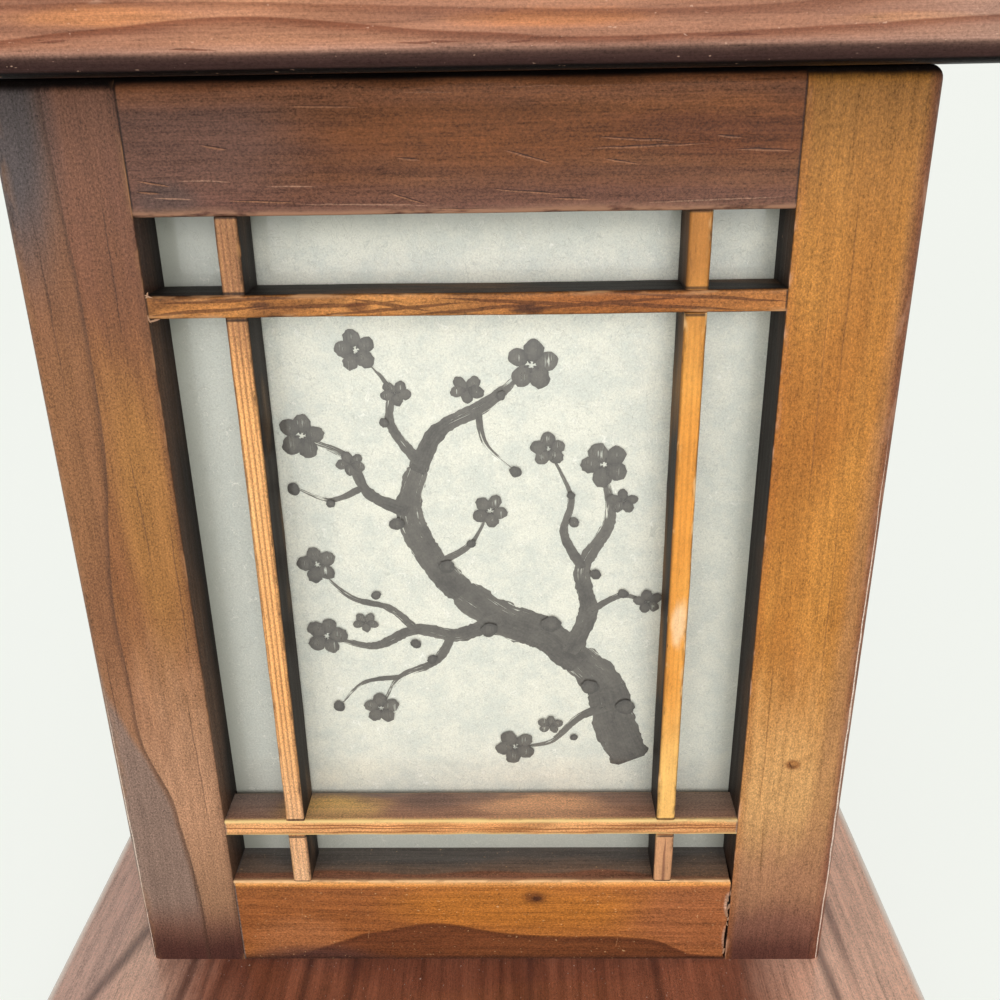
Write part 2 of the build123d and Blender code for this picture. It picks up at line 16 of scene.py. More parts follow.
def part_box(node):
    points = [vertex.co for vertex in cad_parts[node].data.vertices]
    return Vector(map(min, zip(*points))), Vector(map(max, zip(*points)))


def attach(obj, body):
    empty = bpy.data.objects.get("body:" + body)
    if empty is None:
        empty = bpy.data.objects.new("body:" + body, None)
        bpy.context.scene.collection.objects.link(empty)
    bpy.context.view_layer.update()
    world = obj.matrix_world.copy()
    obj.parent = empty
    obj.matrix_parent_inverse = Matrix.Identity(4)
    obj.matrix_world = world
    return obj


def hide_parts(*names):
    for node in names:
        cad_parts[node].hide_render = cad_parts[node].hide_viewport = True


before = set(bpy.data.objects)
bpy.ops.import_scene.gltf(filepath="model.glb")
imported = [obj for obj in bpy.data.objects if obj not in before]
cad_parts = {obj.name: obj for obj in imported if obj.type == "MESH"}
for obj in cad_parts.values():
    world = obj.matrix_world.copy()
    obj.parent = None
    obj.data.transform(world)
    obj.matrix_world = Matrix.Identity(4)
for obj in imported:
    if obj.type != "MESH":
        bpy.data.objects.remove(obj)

MM = 0.001
SHARP_DEGREES = 38.0
LAMP_BODY = "lamp_body"
ROOF_BODY = "roof"
BULB_BODY = "bulb"

Colour = tuple[int, int, int]
Pair = tuple[float, float]
Fields = dict[Any, Any] | None
Piece = bpy.types.Object
log = logging.getLogger("andon_lamp")


def linear(colour: Colour) -> tuple[float, ...]:
    """Turn a screen colour into the linear one that a shader takes.

    Args:
        colour: Red, green and blue, from 0 to 255.

    Returns:
        Linear red, green and blue, from 0 to 1, and an alpha of 1.
    """
    parts = (part / 255 for part in colour)
    return *(part / 12.92 if part <= 0.04045 else ((part + 0.055) / 1.055) ** 2.4 for part in parts), 1


# --- shader maths


class Wire:
    """A shader socket whose operators add Math nodes to its tree."""

    def __init__(self, paint: "Paint", socket: bpy.types.NodeSocket) -> None:
        """Wrap an output socket of a paint's tree."""
        self.paint = paint
        self.socket = socket

    def maths(self, operation: str, *others: "Wire | float", first: bool = True) -> "Wire":
        """Add one Math node.

        Args:
            operation: The Math node's operation.
            others: The other operands, wires or numbers.
            first: Whether this wire is the first operand.

        Returns:
            The node's result.
        """
        operands = [self, *others] if first else [*others, self]
        return self.paint.wire("Math", {"operation": operation}, dict(enumerate(operands)))

    def __add__(self, other: "Wire | float") -> "Wire":
        """Sum."""
        return self.maths("ADD", other)

    __radd__ = __add__

    def __sub__(self, other: "Wire | float") -> "Wire":
        """Difference."""
        return self.maths("SUBTRACT", other)

    def __rsub__(self, other: float) -> "Wire":
        """Difference from a number."""
        return self.maths("SUBTRACT", other, first=False)

    def __mul__(self, other: "Wire | float") -> "Wire":
        """Product."""
        return self.maths("MULTIPLY", other)

    __rmul__ = __mul__

    def __truediv__(self, other: "Wire | float") -> "Wire":
        """Quotient."""
        return self.maths("DIVIDE", other)

    def __rtruediv__(self, other: float) -> "Wire":
        """A number divided by this."""
        return self.maths("DIVIDE", other, first=False)

    def __abs__(self) -> "Wire":
        """Size without sign."""
        return self.maths("ABSOLUTE")

    def larger(self, other: "Wire | float") -> "Wire":
        """The larger of two values."""
        return self.maths("MAXIMUM", other)

    def smaller(self, other: "Wire | float") -> "Wire":
        """The smaller of two values."""
        return self.maths("MINIMUM", other)

    def between(self, low: float, high: float) -> "Wire":
        """Rise smoothly from 0 at one value to 1 at another.

        Args:
            low: Where the result is 0.
            high: Where the result is 1; below low, the result falls instead.

        Returns:
            The smoothed step.
        """
        outs = (0, 1) if low < high else (1, 0)
        sockets = {"Value": self, "From Min": min(low, high), "From Max": max(low, high)}
        sockets |= {"To Min": outs[0], "To Max": outs[1]}
        return self.paint.wire("MapRange", {"interpolation_type": "SMOOTHSTEP"}, sockets, "Result")


class Paint:
    """A node tree under construction, and the nodes that finishes use."""

    def __init__(self, owner: bpy.types.Material | bpy.types.World) -> None:
        """Empty a new tree.

        Args:
            owner: The material or world that holds it.
        """
        owner.use_nodes = True
        self.owner = owner
        self.tree = owner.node_tree
        self.tree.nodes.clear()

    def node(self, kind: str, settings: Fields = None, sockets: Fields = None) -> bpy.types.Node:
        """Add a node, set it, then fill or link its sockets.

        Args:
            kind: The node's type, without its ShaderNode.
            settings: The node's own settings; "stops" and "curve" go to a ramp.
            sockets: For each input, by name or number, a wire, number or vector.

        Returns:
            The new node.
        """
        made = self.tree.nodes.new(f"ShaderNode{kind}")
        for key, value in (settings or {}).items():
            if key == "stops":
                self.set_stops(made.color_ramp.elements, value)
            elif key == "curve":
                made.color_ramp.interpolation = value
            else:
                setattr(made, key, value)
        for key, value in (sockets or {}).items():
            if isinstance(value, Wire):
                self.tree.links.new(value.socket, made.inputs[key])
            else:
                made.inputs[key].default_value = value
        return made

    def wire(
        self, kind: str, settings: Fields = None, sockets: Fields = None, output: int | str = 0
    ) -> Wire:
        """Add a node and take one of its outputs."""
        return Wire(self, self.node(kind, settings, sockets).outputs[output])

    @staticmethod
    def set_stops(elements: Any, stops: Sequence[Pair]) -> None:
        """Give a colour ramp grey stops.

        Args:
            elements: The ramp's elements.
            stops: Position and brightness of each stop.
        """
        while len(elements) < len(stops):
            elements.new(1)
        for element, (place, value) in zip(elements, stops):
            element.position = place
            element.color = (value, value, value, 1)

    def attribute(self, name: str, output: str = "Fac") -> Wire:
        """Read a mesh attribute."""
        return self.wire("Attribute", {"attribute_name": name}, output=output)

    def noise(
        self,
        vector: Wire,
        scale: Sequence[float],
        detail: float = 2,
        roughness: float = 0.5,
        shift: Sequence[float] = (0, 0, 0),
        distortion: float = 0,
    ) -> Wire:
        """Smooth noise from 0 to 1 over a stretched vector.

        Args:
            vector: The place on the piece, in metres.
            scale: Features per metre along the three axes.
            detail: Octaves.
            roughness: Weight of the finer octaves.
            shift: Moves the pattern.
            distortion: Curls the pattern.

        Returns:
            The noise value.
        """
        stretch = {0: vector, 1: tuple(scale), 2: tuple(shift)}
        sockets = {
            "Vector": self.wire("VectorMath", {"operation": "MULTIPLY_ADD"}, stretch),
            "Scale": 1,
            "Detail": detail,
            "Roughness": roughness,
            "Distortion": distortion,
        }
        return self.wire("TexNoise", {"noise_dimensions": "3D"}, sockets, "Fac")

    def split(self, vector: Wire) -> tuple[Wire, ...]:
        """The three parts of a vector."""
        node = self.node("SeparateXYZ", sockets={0: vector})
        return tuple(Wire(self, output) for output in node.outputs)

    def ramp(self, value: Wire, stops: Sequence[Pair], curve: str = "LINEAR") -> Wire:
        """Remap a value through stops.

        Args:
            value: The value, from 0 to 1.
            stops: Position and result of each stop.
            curve: How it runs between stops.

        Returns:
            The remapped value.
        """
        return self.wire("ValToRGB", {"stops": stops, "curve": curve}, {"Fac": value}, "Color")

    def mix(self, amount: "Wire | float", under: "Wire | Colour", over: "Wire | Colour") -> Wire:
        """Blend two colours.

        Args:
            amount: 0 for the first colour, 1 for the second.
            under: The first colour.
            over: The second colour.

        Returns:
            The blended colour.
        """
        settings = {"data_type": "RGBA", "blend_type": "MIX", "clamp_factor": True}
        colours = [c if isinstance(c, Wire) else linear(c) for c in (under, over)]
        return self.wire("Mix", settings, {0: amount, 6: colours[0], 7: colours[1]}, 2)

    def tinted(self, colour: Wire, amount: Wire) -> Wire:
        """Multiply a colour by a plain value."""
        return self.wire("VectorMath", {"operation": "SCALE"}, {0: colour, "Scale": amount})

    def bump(self, height: Wire, distance: float, strength: float = 1) -> Wire:
        """A normal bent by a height, of which 1 stands for a distance in metres."""
        return self.wire("Bump", None, {"Height": height, "Distance": distance, "Strength": strength})

    def surface(self, **sockets: "Wire | float") -> bpy.types.Material:
        """Close the material with a Principled shader, whose inputs' spaces are written as underscores."""
        named = {key.replace("_", " "): value for key, value in sockets.items()}
        return self.closed(self.wire("BsdfPrincipled", None, named))

    def closed(self, shader: Wire, output: str = "OutputMaterial") -> Any:
        """End the tree in a shader and give its material or world."""
        self.node(output, None, {"Surface": shader})
        return self.owner


# --- wood


class Cut(Enum):
    """How a stick lay in its log: the pith across from its corner and behind its face, in millimetres."""

    FLAT = (15, 46)
    RIFT = (-34, 38)
    QUARTER = (-70, 4)


@dataclass(frozen=True)
class Ground:
    """The wood under a mark: its places in metres from the piece's corner, and noise that frays marks."""

    places: tuple[Wire, ...]
    waver: Wire

    def frayed(self, place: Wire, amount: float) -> Wire:
        """Move a place to and fro by noise, over an amount in millimetres."""
        return place + (self.waver - 0.5) * (amount * MM)


class Mark(Protocol):
    """Something that one piece's wood shows in one place."""

    colour: Colour

    def mask(self, ground: Ground) -> Wire:
        """How strongly it shows, from 0 to 1."""
        ...


@dataclass(frozen=True)
class Band:
    """A band of colour that deepens from one place to another along one axis, in millimetres; most are
    staining, some are painted shade, sheen or highlight.
    """

    axis: int
    start: float
    end: float
    colour: Colour
    depth: float = 1.0
    fray: float = 0.9

    def mask(self, ground: Ground) -> Wire:
        """The band: 0 at its start, its depth at its end."""
        place = ground.frayed(ground.places[self.axis], abs(self.end - self.start) * self.fray)
        return place.between(self.start * MM, self.end * MM) * self.depth


@dataclass(frozen=True)
class Patch:
    """A soft patch: its middle and its reach across and along a face, in millimetres."""

    axis: int
    middle: Pair
    reach: Pair
    colour: Colour
    depth: float = 1.0
    fray: float = 0.5
    core: float = 0.35

    def mask(self, ground: Ground) -> Wire:
        """The patch: its depth in the middle, 0 past its reach.

        Args:
            ground: The wood under it.

        Returns:
            Its strength.
        """
        across = (ground.places[self.axis] - self.middle[0] * MM) / (self.reach[0] * MM)
        along = (ground.places[2] - self.middle[1] * MM) / (self.reach[1] * MM)
        distance = (across * across + along * along).maths("SQRT") + (ground.waver - 0.5) * self.fray
        return distance.between(1, self.core) * self.depth


@dataclass(frozen=True)
class Trail:
    """A curve along a face, by points along and across it in millimetres."""

    points: tuple[Pair, ...]
    span: float = 100.0

    def offset(self, ground: Ground, axis: int, fray: float) -> Wire:
        """How far each place lies beyond the curve.

        Args:
            ground: The wood.
            axis: The axis across its face.
            fray: How far noise moves the curve, in millimetres.

        Returns:
            The distance across, in metres, positive on the far side.
        """
        length = self.points[-1][0]
        stops = [(place / length, value / self.span) for place, value in self.points]
        along = ground.places[2] / (length * MM)
        path = along.paint.ramp(along, stops, "CARDINAL") * (self.span * MM)
        return ground.frayed(ground.places[axis] - path, fray)


@dataclass(frozen=True)
class GrowthLine:
    """One bold growth line that follows a trail and fades on both sides, in widths."""

    axis: int
    trail: Trail
    width: float
    colour: Colour
    depth: float = 1.0
    fades: Pair = (2.2, 0.45)

    def mask(self, ground: Ground) -> Wire:
        """The line: dark on one side, fading on the other, as late wood does.

        Args:
            ground: The wood round it.

        Returns:
            Its strength.
        """
        off = self.trail.offset(ground, self.axis, self.width)
        near, far = (self.width * fade * MM for fade in self.fades)
        return off.between(-near, 0) * off.between(far, 0) * self.depth


@dataclass(frozen=True)
class Side:
    """All of a face on one side of a trail."""

    axis: int
    trail: Trail
    soft: float
    colour: Colour
    depth: float = 1.0

    def mask(self, ground: Ground) -> Wire:
        """The side below the trail; a negative softness takes the side beyond it."""
        off = self.trail.offset(ground, self.axis, abs(self.soft))
        return off.between(self.soft * 0.5 * MM, -self.soft * 0.5 * MM) * self.depth


@dataclass(frozen=True)
class Checks:
    """Fine lines along the grain, such as cracks, scratches and painted highlight lines on arrises: each
    across and along at its start, then at its end, in millimetres.
    """

    axis: int
    lines: tuple[tuple[float, float, float, float], ...]
    width: float
    colour: Colour
    depth: float = 0.9
    shift: float = 0.0
    core: float = 0.55
    sway: float = 3.0

    def mask(self, ground: Ground) -> Wire:
        """The lines, widest half way along.

        Args:
            ground: The wood round them.

        Returns:
            Their strength.
        """
        across, along = ground.places[self.axis] / MM, ground.places[2] / MM
        line_masks = []
        for across_start, along_start, across_end, along_end in self.lines:
            share = (along - along_start) / (along_end - along_start)
            line = share * (across_end - across_start) + (ground.waver - 0.5) * self.sway
            reach = (share * (1 - share) * (4 * self.width)).larger(0.001)
            offset = abs(across - (line + (across_start + self.shift)))
            line_masks.append((offset / reach).between(1, self.core))
        return reduce(Wire.larger, line_masks) * self.depth


@dataclass(frozen=True)
class WoodFinish:
    """Stained and varnished softwood; its dark staining also stands for painted shade on side faces, in
    recesses and under the roof, and some of its marks are painted shade, sheen or highlight.
    """

    name: str
    light: Colour
    middle: Colour
    late: Colour
    # Dark colour laid by the tone: staining, and painted shade on side faces, in recesses and under the roof.
    stain: Colour
    worn: Colour
    soot: Colour = (128, 116, 108)
    cut: Cut = Cut.RIFT
    ring_pitch: float = 2.4
    ring_depth: float = 0.4
    lean: float = 0.05
    warp: float = 2.0
    streak: float = 0.6
    speckle: float = 2.6
    wear: float = 0.6
    roughness: float = 0.42
    gloss: float = 0.16
    stained_rough: float = 0.2
    coat: float = 0.06
    relief: float = 0.1
    charring: float = 0.6
    burnt_edges: float = 0.0
    dust: float = 0.0
    # How strongly whole arrises go pale: wear, and a painted highlight along them.
    rubbed: float = 0.0
    fleck_size: float = 1.0
    marks: tuple[Mark, ...] = ()
    over: tuple[Mark, ...] = ()
    joints: tuple[float, ...] = ()

    def material(self) -> bpy.types.Material:
        """Build the wood's material.

        Returns:
            A material that reads the piece's grain, own_place, arris and tone attributes.
        """
        paint = Paint(bpy.data.materials.new(self.name))
        grain = paint.attribute("grain", "Vector")
        tone = paint.attribute("tone")
        fibre = paint.noise(grain, (2600, 2600, 60), 2, 0.6)
        streaks = paint.noise(grain, (520, 520, 14), 3, 0.6, (3, 1, 7))
        blotch = paint.noise(grain, (34, 34, 12), 3, 0.55, (5, 2, 1))
        grit = paint.noise(grain, (1900, 1900, 1300), 3, 0.85, (2, 2, 9))
        cloud = paint.noise(grain, (260, 260, 90), 2, 0.6, (7, 3, 5))
        pores = paint.noise(grain, (1700, 1700, 150), 1, 0.4, (9, 4, 2)).between(0.66, 0.76)
        places = paint.split(paint.attribute("own_place", "Vector"))
        ground = Ground(places, blotch * 0.65 + cloud * 0.35)
        late = self.late_wood(grain, places)
        colour = paint.mix(blotch.between(0.34, 0.66), self.light, self.middle)
        colour = paint.mix(late * self.ring_depth, colour, self.late)
        for mark in self.marks:
            colour = paint.mix(mark.mask(ground), colour, mark.colour)
        for joint in self.joints:
            line = abs(places[2] - joint * MM).between(0.65 * MM, 0.2 * MM)
            colour = paint.mix(line * (0.5 + ground.waver * 0.6), colour, self.stain)
        # Dark staining and painted shade by the tone, with pale specks in it.
        burnt = self.burnt(grain, tone, blotch)
        colour = paint.mix(burnt, colour, self.stain)
        colour = paint.mix(burnt * grit.between(0.53, 0.68) * 0.4, colour, self.soot)
        for mark in self.over:
            colour = paint.mix(mark.mask(ground) * tone, colour, mark.colour)
        shading = 1 - (streaks - 0.5) * self.streak - (fibre - 0.5) * (self.streak * 0.8)
        shading = shading - (grit - 0.5) * self.speckle - (cloud - 0.5) * 0.35 - pores * 0.2
        # Pale arrises: wear, and on the base a painted highlight all round the rim.
        worn = self.worn_arris(grain)
        colour = paint.mix(worn, paint.tinted(colour, shading), self.worn)
        colour = paint.mix(self.flecks(grain) * 0.45, colour, self.worn)
        height = fibre * 0.3 + streaks * 0.25 - late * 0.35 - pores * 0.5 + (grit - 0.5) * 0.8
        rough = (streaks - 0.5) * 0.3 + (grit - 0.5) * 0.4 + tone * self.stained_rough + worn * 0.1
        return paint.surface(
            Base_Color=colour,
            Roughness=rough + self.roughness,
            Normal=paint.bump(height, self.relief * MM),
            Specular_IOR_Level=self.gloss,
            Coat_Weight=(1 - tone) * self.coat,
            Coat_Roughness=0.14,
        )

    def late_wood(self, grain: Wire, places: Sequence[Wire]) -> Wire:
        """The late wood of growth rings round a pith that leans from the piece.

        Args:
            grain: Places for noise, in metres.
            places: Places across, behind and along from the piece's corner, in metres.

        Returns:
            The darkness of the late wood, from 0 to 1.
        """
        across, behind, along = places
        sway = grain.paint.noise(grain, (20, 20, 6), 2, 0.5, (2, 6, 4)) - 0.5
        curl = grain.paint.noise(grain, (75, 75, 18), 2, 0.5, (8, 1, 5)) - 0.5
        u = across - self.cut.value[0] * MM + along * (self.lean * 0.4) + sway * (self.warp * 2.4 * MM)
        v = self.cut.value[1] * MM - behind + along * self.lean + sway * (self.warp * MM)
        radius = (u * u + v * v).maths("SQRT") / (self.ring_pitch * MM) + curl * (self.warp * 0.3)
        bold = (radius.maths("FLOOR") * 12.9898).maths("SINE") * 0.35 + 0.65
        stops = ((0, 0.35), (0.15, 0.05), (0.45, 0.1), (0.72, 0.85), (0.9, 1), (1, 0.35))
        return grain.paint.ramp(radius.maths("FRACT"), stops) * bold

    def burnt(self, grain: Wire, tone: Wire, blotch: Wire) -> Wire:
        """Where the dark staining and painted shade lie: by the tone, and ragged along charred edges.

        Args:
            grain: Places for noise, in metres.
            tone: The piece's tone.
            blotch: Broad noise.

        Returns:
            The stain's depth.
        """
        depth = tone * (1.02 + (blotch - 0.5) * self.charring)
        if not self.burnt_edges:
            return depth
        ragged = grain.paint.noise(grain, (420, 420, 130), 3, 0.7, (3, 9, 4))
        edge = grain.paint.attribute("arris") * ragged.between(0.62 - self.burnt_edges * 0.3, 0.66)
        return depth.larger(edge * 0.85)

    def worn_arris(self, grain: Wire) -> Wire:
        """Where the finish is worn through along the arrises, and where a painted highlight runs along them
        all.

        Args:
            grain: Places for noise, in metres.

        Returns:
            The wear, from 0 to 1.
        """
        scuff = grain.paint.noise(grain, (230, 230, 70), 3, 0.65, (1, 8, 3))
        rubbed = scuff.between(0.64 - self.wear * 0.4, 0.74 - self.wear * 0.3)
        return grain.paint.attribute("arris") * rubbed.larger((scuff + 0.5) * self.rubbed)

    def flecks(self, grain: Wire) -> Wire:
        """Pale specks of dust and bare wood."""
        specks = grain.paint.noise(grain, [n / self.fleck_size for n in (700, 700, 380)], 2, 0.5, (4, 7, 3))
        return specks.between(0.765 - self.dust * 0.11, 0.82 - self.dust * 0.11)


# Near-black painted shadow: the gap under the roof atop the posts and rails, and the inside of the opened
# joint.
PAINTED_SHADOW_BLACK = (10, 8, 8)
PURPLE_STAIN = (96, 70, 62)
RAIL_JOINTS = (17, 189)
BAR_JOINTS = (5, 177)
UPRIGHT_JOINTS = (5, 24.4, 31.6, 200.9, 208.1, 228)

POST_WOOD = WoodFinish(
    name="post_wood", light=(160, 108, 58), middle=(132, 86, 50), late=(84, 52, 36), stain=(32, 23, 21),
    worn=(178, 128, 88), ring_pitch=4.2, ring_depth=0.22, wear=0.35,
    marks=(
        # Darker towards the foot: staining and painted contact shade by the base.
        Band(2, 30, 0, (84, 52, 42), 0.75),
        Band(2, 250, 293, PURPLE_STAIN, 0.6),
        # Painted shadow under the roof.
        Band(2, 290.8, 292.2, PAINTED_SHADOW_BLACK, 1),
    ),
)
LEFT_LINE = Trail(
    ((0, 21.5), (31, 21.5), (57, 19.2), (74, 17), (92, 11.4), (118, 10.6), (147, 10.2), (176, 13.4),
     (192, 15.6), (236, 16.6), (268, 15.6), (293, 15.2))
)
LEFT_POST_LINES = (
    (20, 20, 20.4, 46), (24, 150, 23, 196), (28.6, 60, 28, 116), (8, 210, 7.4, 262), (4.6, 96, 4.2, 132),
    (26, 226, 26.6, 268), (31, 120, 31, 176),
)
LOWER_LEFT_LINE = Trail(
    ((0, 21), (31, 21), (57, 18.8), (74, 16), (92, 9.6), (112, 3), (134, -8), (293, -8))
)
FRONT_LEFT_POST = replace(
    POST_WOOD, name="front_left_post_wood", speckle=3.4, light=(156, 106, 64), middle=(138, 88, 56),
    charring=1.2,
    marks=(
        Band(2, 205, 275, (122, 82, 66), 0.85),
        Band(2, 150, 76, (186, 140, 108), 0.85),
        Side(0, LEFT_LINE, 1.2, (136, 94, 66), 0.6),
        Patch(0, (4, 290), (17, 62), (86, 78, 78), 0.95, 0.3),
        Band(2, 70, 26, (150, 112, 84), 0.8),
        Side(0, LOWER_LEFT_LINE, 3, (134, 112, 101), 0.85),
        # Darker towards the foot: staining and painted contact shade by the base.
        Band(2, 30, 12, (112, 76, 62), 0.9),
        Band(2, 18, 4, (76, 44, 38), 0.94),
        Patch(0, (26, 172), (12, 56), (168, 116, 62), 0.75, 0.5),
        GrowthLine(0, LEFT_LINE, 0.9, (76, 52, 42), 0.62),
        Band(0, 31, 34.5, (84, 54, 40), 0.5),
        Checks(0, LEFT_POST_LINES, 0.4, (74, 52, 44), 0.55, core=0.1),
        # Pale line along the outer arris, low down: painted highlight.
        Checks(0, ((1.5, -40, 1.5, 120),), 0.45, (236, 214, 196), 0.9, core=0.1),
        # Painted shadow under the roof.
        Band(2, 289.6, 291.6, PAINTED_SHADOW_BLACK, 1),
    ),
)
KNOT_LINES = ((17, 82.9, 18.6, 83.2), (19.6, 85.6, 18.2, 83), (16.2, 86, 19.4, 86.3))
RIGHT_EDGE = Trail(
    ((0, 30), (24, 22), (45, 13), (97, 9.4), (156, 7.6), (208, 5.6), (248, 4.4), (293, 3.4))
)
RIGHT_POST_LINES = (
    (22, 170, 23, 240), (12.4, 110, 13.4, 176), (27, 60, 27.6, 130), (17.6, 200, 18, 268), (24.6, 36, 25, 62),
)
FRONT_RIGHT_POST = replace(
    POST_WOOD, name="front_right_post_wood", light=(196, 132, 60), middle=(174, 110, 46), worn=(226, 172, 138),
    ring_pitch=3.4, ring_depth=0.16,
    marks=(
        # Paler lower zone: the wood's colour with a painted glossy sheen.
        Band(2, 140, 66, (208, 160, 104), 0.85),
        Band(2, 215, 285, (172, 116, 52), 0.8),
        Side(1, RIGHT_EDGE, 5, (166, 118, 76), 0.7),
        Band(2, 74, 34, (164, 116, 86), 0.9),
        # Darker towards the foot: staining and painted contact shade by the base.
        Band(2, 34, 14, (122, 80, 66), 0.9),
        Band(2, 16, 2, (86, 50, 42), 0.9),
        Checks(1, RIGHT_POST_LINES, 0.4, (120, 78, 44), 0.5, core=0.1),
        Patch(1, (17.9, 84.4), (3.6, 2.6), (128, 78, 40), 0.9, 0.9),
        Patch(1, (17.6, 84.8), (1.4, 1.1), (176, 120, 66), 0.9, 0.7),
        Checks(1, KNOT_LINES, 0.35, (88, 52, 28)),
        Band(1, 5.4, 1.6, (124, 74, 54), 0.85),
        Band(1, 30.5, 34.2, (168, 100, 44), 0.5),
        # Pale line along the outer arris: painted highlight.
        Checks(1, ((1.6, -60, 1.6, 200),), 0.5, (244, 222, 204), 0.95, core=0.1),
        # Painted shadow under the roof.
        Band(2, 290.6, 292, PAINTED_SHADOW_BLACK, 1),
    ),
)
TOP_RAIL_WOOD = WoodFinish(
    name="top_rail_wood", light=(130, 82, 48), middle=(110, 66, 40), late=(72, 40, 30), stain=(28, 20, 19),
    worn=(168, 124, 98), cut=Cut.QUARTER, ring_pitch=5, ring_depth=0.45, streak=1, speckle=2.7, wear=0.7,
    # Darker towards the top under the roof: staining and painted shade.
    marks=(Band(0, 24, 34, (66, 42, 36), 0.8),), joints=RAIL_JOINTS,
)
RAIL_CHECKS = (
    (18.7, 137.2, 17.4, 157.3), (16, 134.2, 16.8, 166.4), (15.4, 114, 12.4, 126.2), (13.5, 139.3, 11.7, 148.5),
    (17.7, 36.9, 16.7, 43.9), (6.2, 111, 4.7, 128.6), (5.8, 84.1, 3, 93.6), (1.6, 95.2, 1.3, 111.6),
    (4.3, 42.5, 3.2, 60), (9.4, 19.4, 7.8, 27.8), (6.8, 18.8, 6.2, 25), (3.8, 126.2, 3.2, 136.4),
    (15.3, 172, 14.9, 187), (13.9, 86.6, 13.4, 92.6), (18.7, 167.6, 18.1, 173.8), (26.8, 60, 26.2, 78),
)
RAIL_CRACKS = (
    (30.4, 112, 30.2, 150), (29.4, 88, 29.3, 102), (9, 30, 8.6, 44), (7.4, 52, 7.2, 66), (5, 23, 4.6, 34),
    (2.8, 60, 2.4, 96), (2.2, 150, 3.4, 186),
)
FRONT_TOP_RAIL = replace(
    TOP_RAIL_WOOD, name="front_top_rail_wood",
    marks=(
        Patch(0, (18, 30), (30, 46), (112, 78, 66), 0.8, 0.6),
        Patch(0, (22, 114), (15, 66), (126, 72, 32), 0.95, 0.7),
        Patch(0, (23, 176), (15, 44), (112, 60, 28), 0.9, 0.7),
        Band(0, 12, 0, (106, 70, 60), 0.8),
        Patch(0, (4, 26), (8, 12), (84, 66, 60), 0.7, 0.5),
        Patch(0, (27, 150), (4.5, 38), (150, 90, 44), 0.6, 1.2),
        Patch(0, (24.5, 178), (2.4, 16), (146, 86, 44), 0.55, 1.2),
        # Each split: a pale line beside the dark one, a painted highlight on its edge.
        Checks(0, RAIL_CHECKS, 0.34, (164, 112, 80), 0.6, -0.28),
        Checks(0, RAIL_CHECKS, 0.24, (48, 26, 20), 0.85, core=0.3),
        Checks(0, RAIL_CRACKS, 0.3, (170, 128, 104), 0.7, core=0.2),
        # Lighter band below the top: painted light where the roof's shadow falls.
        Band(0, 25, 29.5, (142, 88, 56), 0.7),
        # Painted shadow under the roof.
        Band(0, 32, 33.2, PAINTED_SHADOW_BLACK, 1),
    ),
)
BOTTOM_RAIL_WOOD = replace(
    TOP_RAIL_WOOD, name="bottom_rail_wood", light=(182, 112, 56), middle=(158, 94, 50), late=(100, 54, 30),
    worn=(230, 166, 104), cut=Cut.RIFT, ring_pitch=3.6, ring_depth=0.3,
    marks=(Band(0, 6, 0, (96, 54, 34), 0.7),),
)
WAVE = Trail(
    ((0, 0), (34, 1), (57, 10), (71, 13.8), (87, 16.6), (106, 12.8), (125, 10.4), (152, 10), (166, 7.6),
     (176, 2), (206, 0))
)
BROWN_STRIP = Trail(
    ((0, 4.6), (30, 4), (52, 5.2), (80, 3.2), (104, 4.8), (128, 3.6), (146, 5.4), (164, 2.6), (189, 2),
     (206, 2))
)
RAIL_SCRATCHES = (
    (16, 39, 27, 40.2), (9, 62, 14, 62.8), (4, 30, 9, 30.6), (20, 96, 24, 96.6), (6, 150, 11, 150.8),
)
FRONT_BOTTOM_RAIL = replace(
    BOTTOM_RAIL_WOOD, name="front_bottom_rail_wood", stain=(100, 94, 90), soot=(176, 172, 166),
    worn=(255, 206, 150), dust=0.7, fleck_size=0.6, rubbed=0.6,
    over=(Side(1, BROWN_STRIP, 1.4, (150, 94, 68), 0.95),),
    marks=(
        Patch(0, (24, 112), (16, 62), (188, 116, 46), 0.8, 0.7),
        Patch(0, (10, 38), (14, 24), (176, 112, 70), 0.7, 0.6),
        Patch(0, (18, 180), (26, 34), (160, 96, 60), 0.8, 0.6),
        Side(0, WAVE, 2, (106, 58, 36), 0.85),
        GrowthLine(0, WAVE, 1.4, (80, 42, 26), 0.5),
        Patch(0, (0, 42), (9, 34), (84, 54, 48), 0.8, 0.7),
        Band(0, 32.6, 34.8, (240, 162, 84), 0.85),
        Patch(0, (28.2, 121.4), (4.2, 6.4), (104, 58, 30), 0.8, 0.9),
        Patch(0, (28, 122), (1.8, 2.6), (70, 38, 24), 0.9, 0.8),
        Checks(0, RAIL_SCRATCHES, 0.5, (214, 160, 112), 0.6),
        Band(0, 2.4, 0, (60, 34, 26), 0.8),
        # The opened joint: pale patches beside it and painted shadow inside the gap.
        Patch(0, (25.8, 188.3), (5.6, 1.5), (196, 156, 132), 0.9, 1.2),
        Patch(0, (25.8, 188.6), (5, 0.8), PAINTED_SHADOW_BLACK, 1, 0.9),
        Patch(0, (9.8, 188.4), (6.6, 1.4), (190, 146, 120), 0.9, 1.2),
        Patch(0, (9.8, 188.6), (6.2, 0.75), PAINTED_SHADOW_BLACK, 1, 0.9),
    ),
)
BAR_WOOD = WoodFinish(
    name="bar_wood", light=(196, 130, 68), middle=(166, 102, 54), late=(76, 42, 24), stain=(32, 24, 22),
    worn=(236, 178, 112), cut=Cut.FLAT, ring_pitch=1.7, ring_depth=0.75, wear=0.7, charring=1.6,
    burnt_edges=0.6, joints=BAR_JOINTS,
)
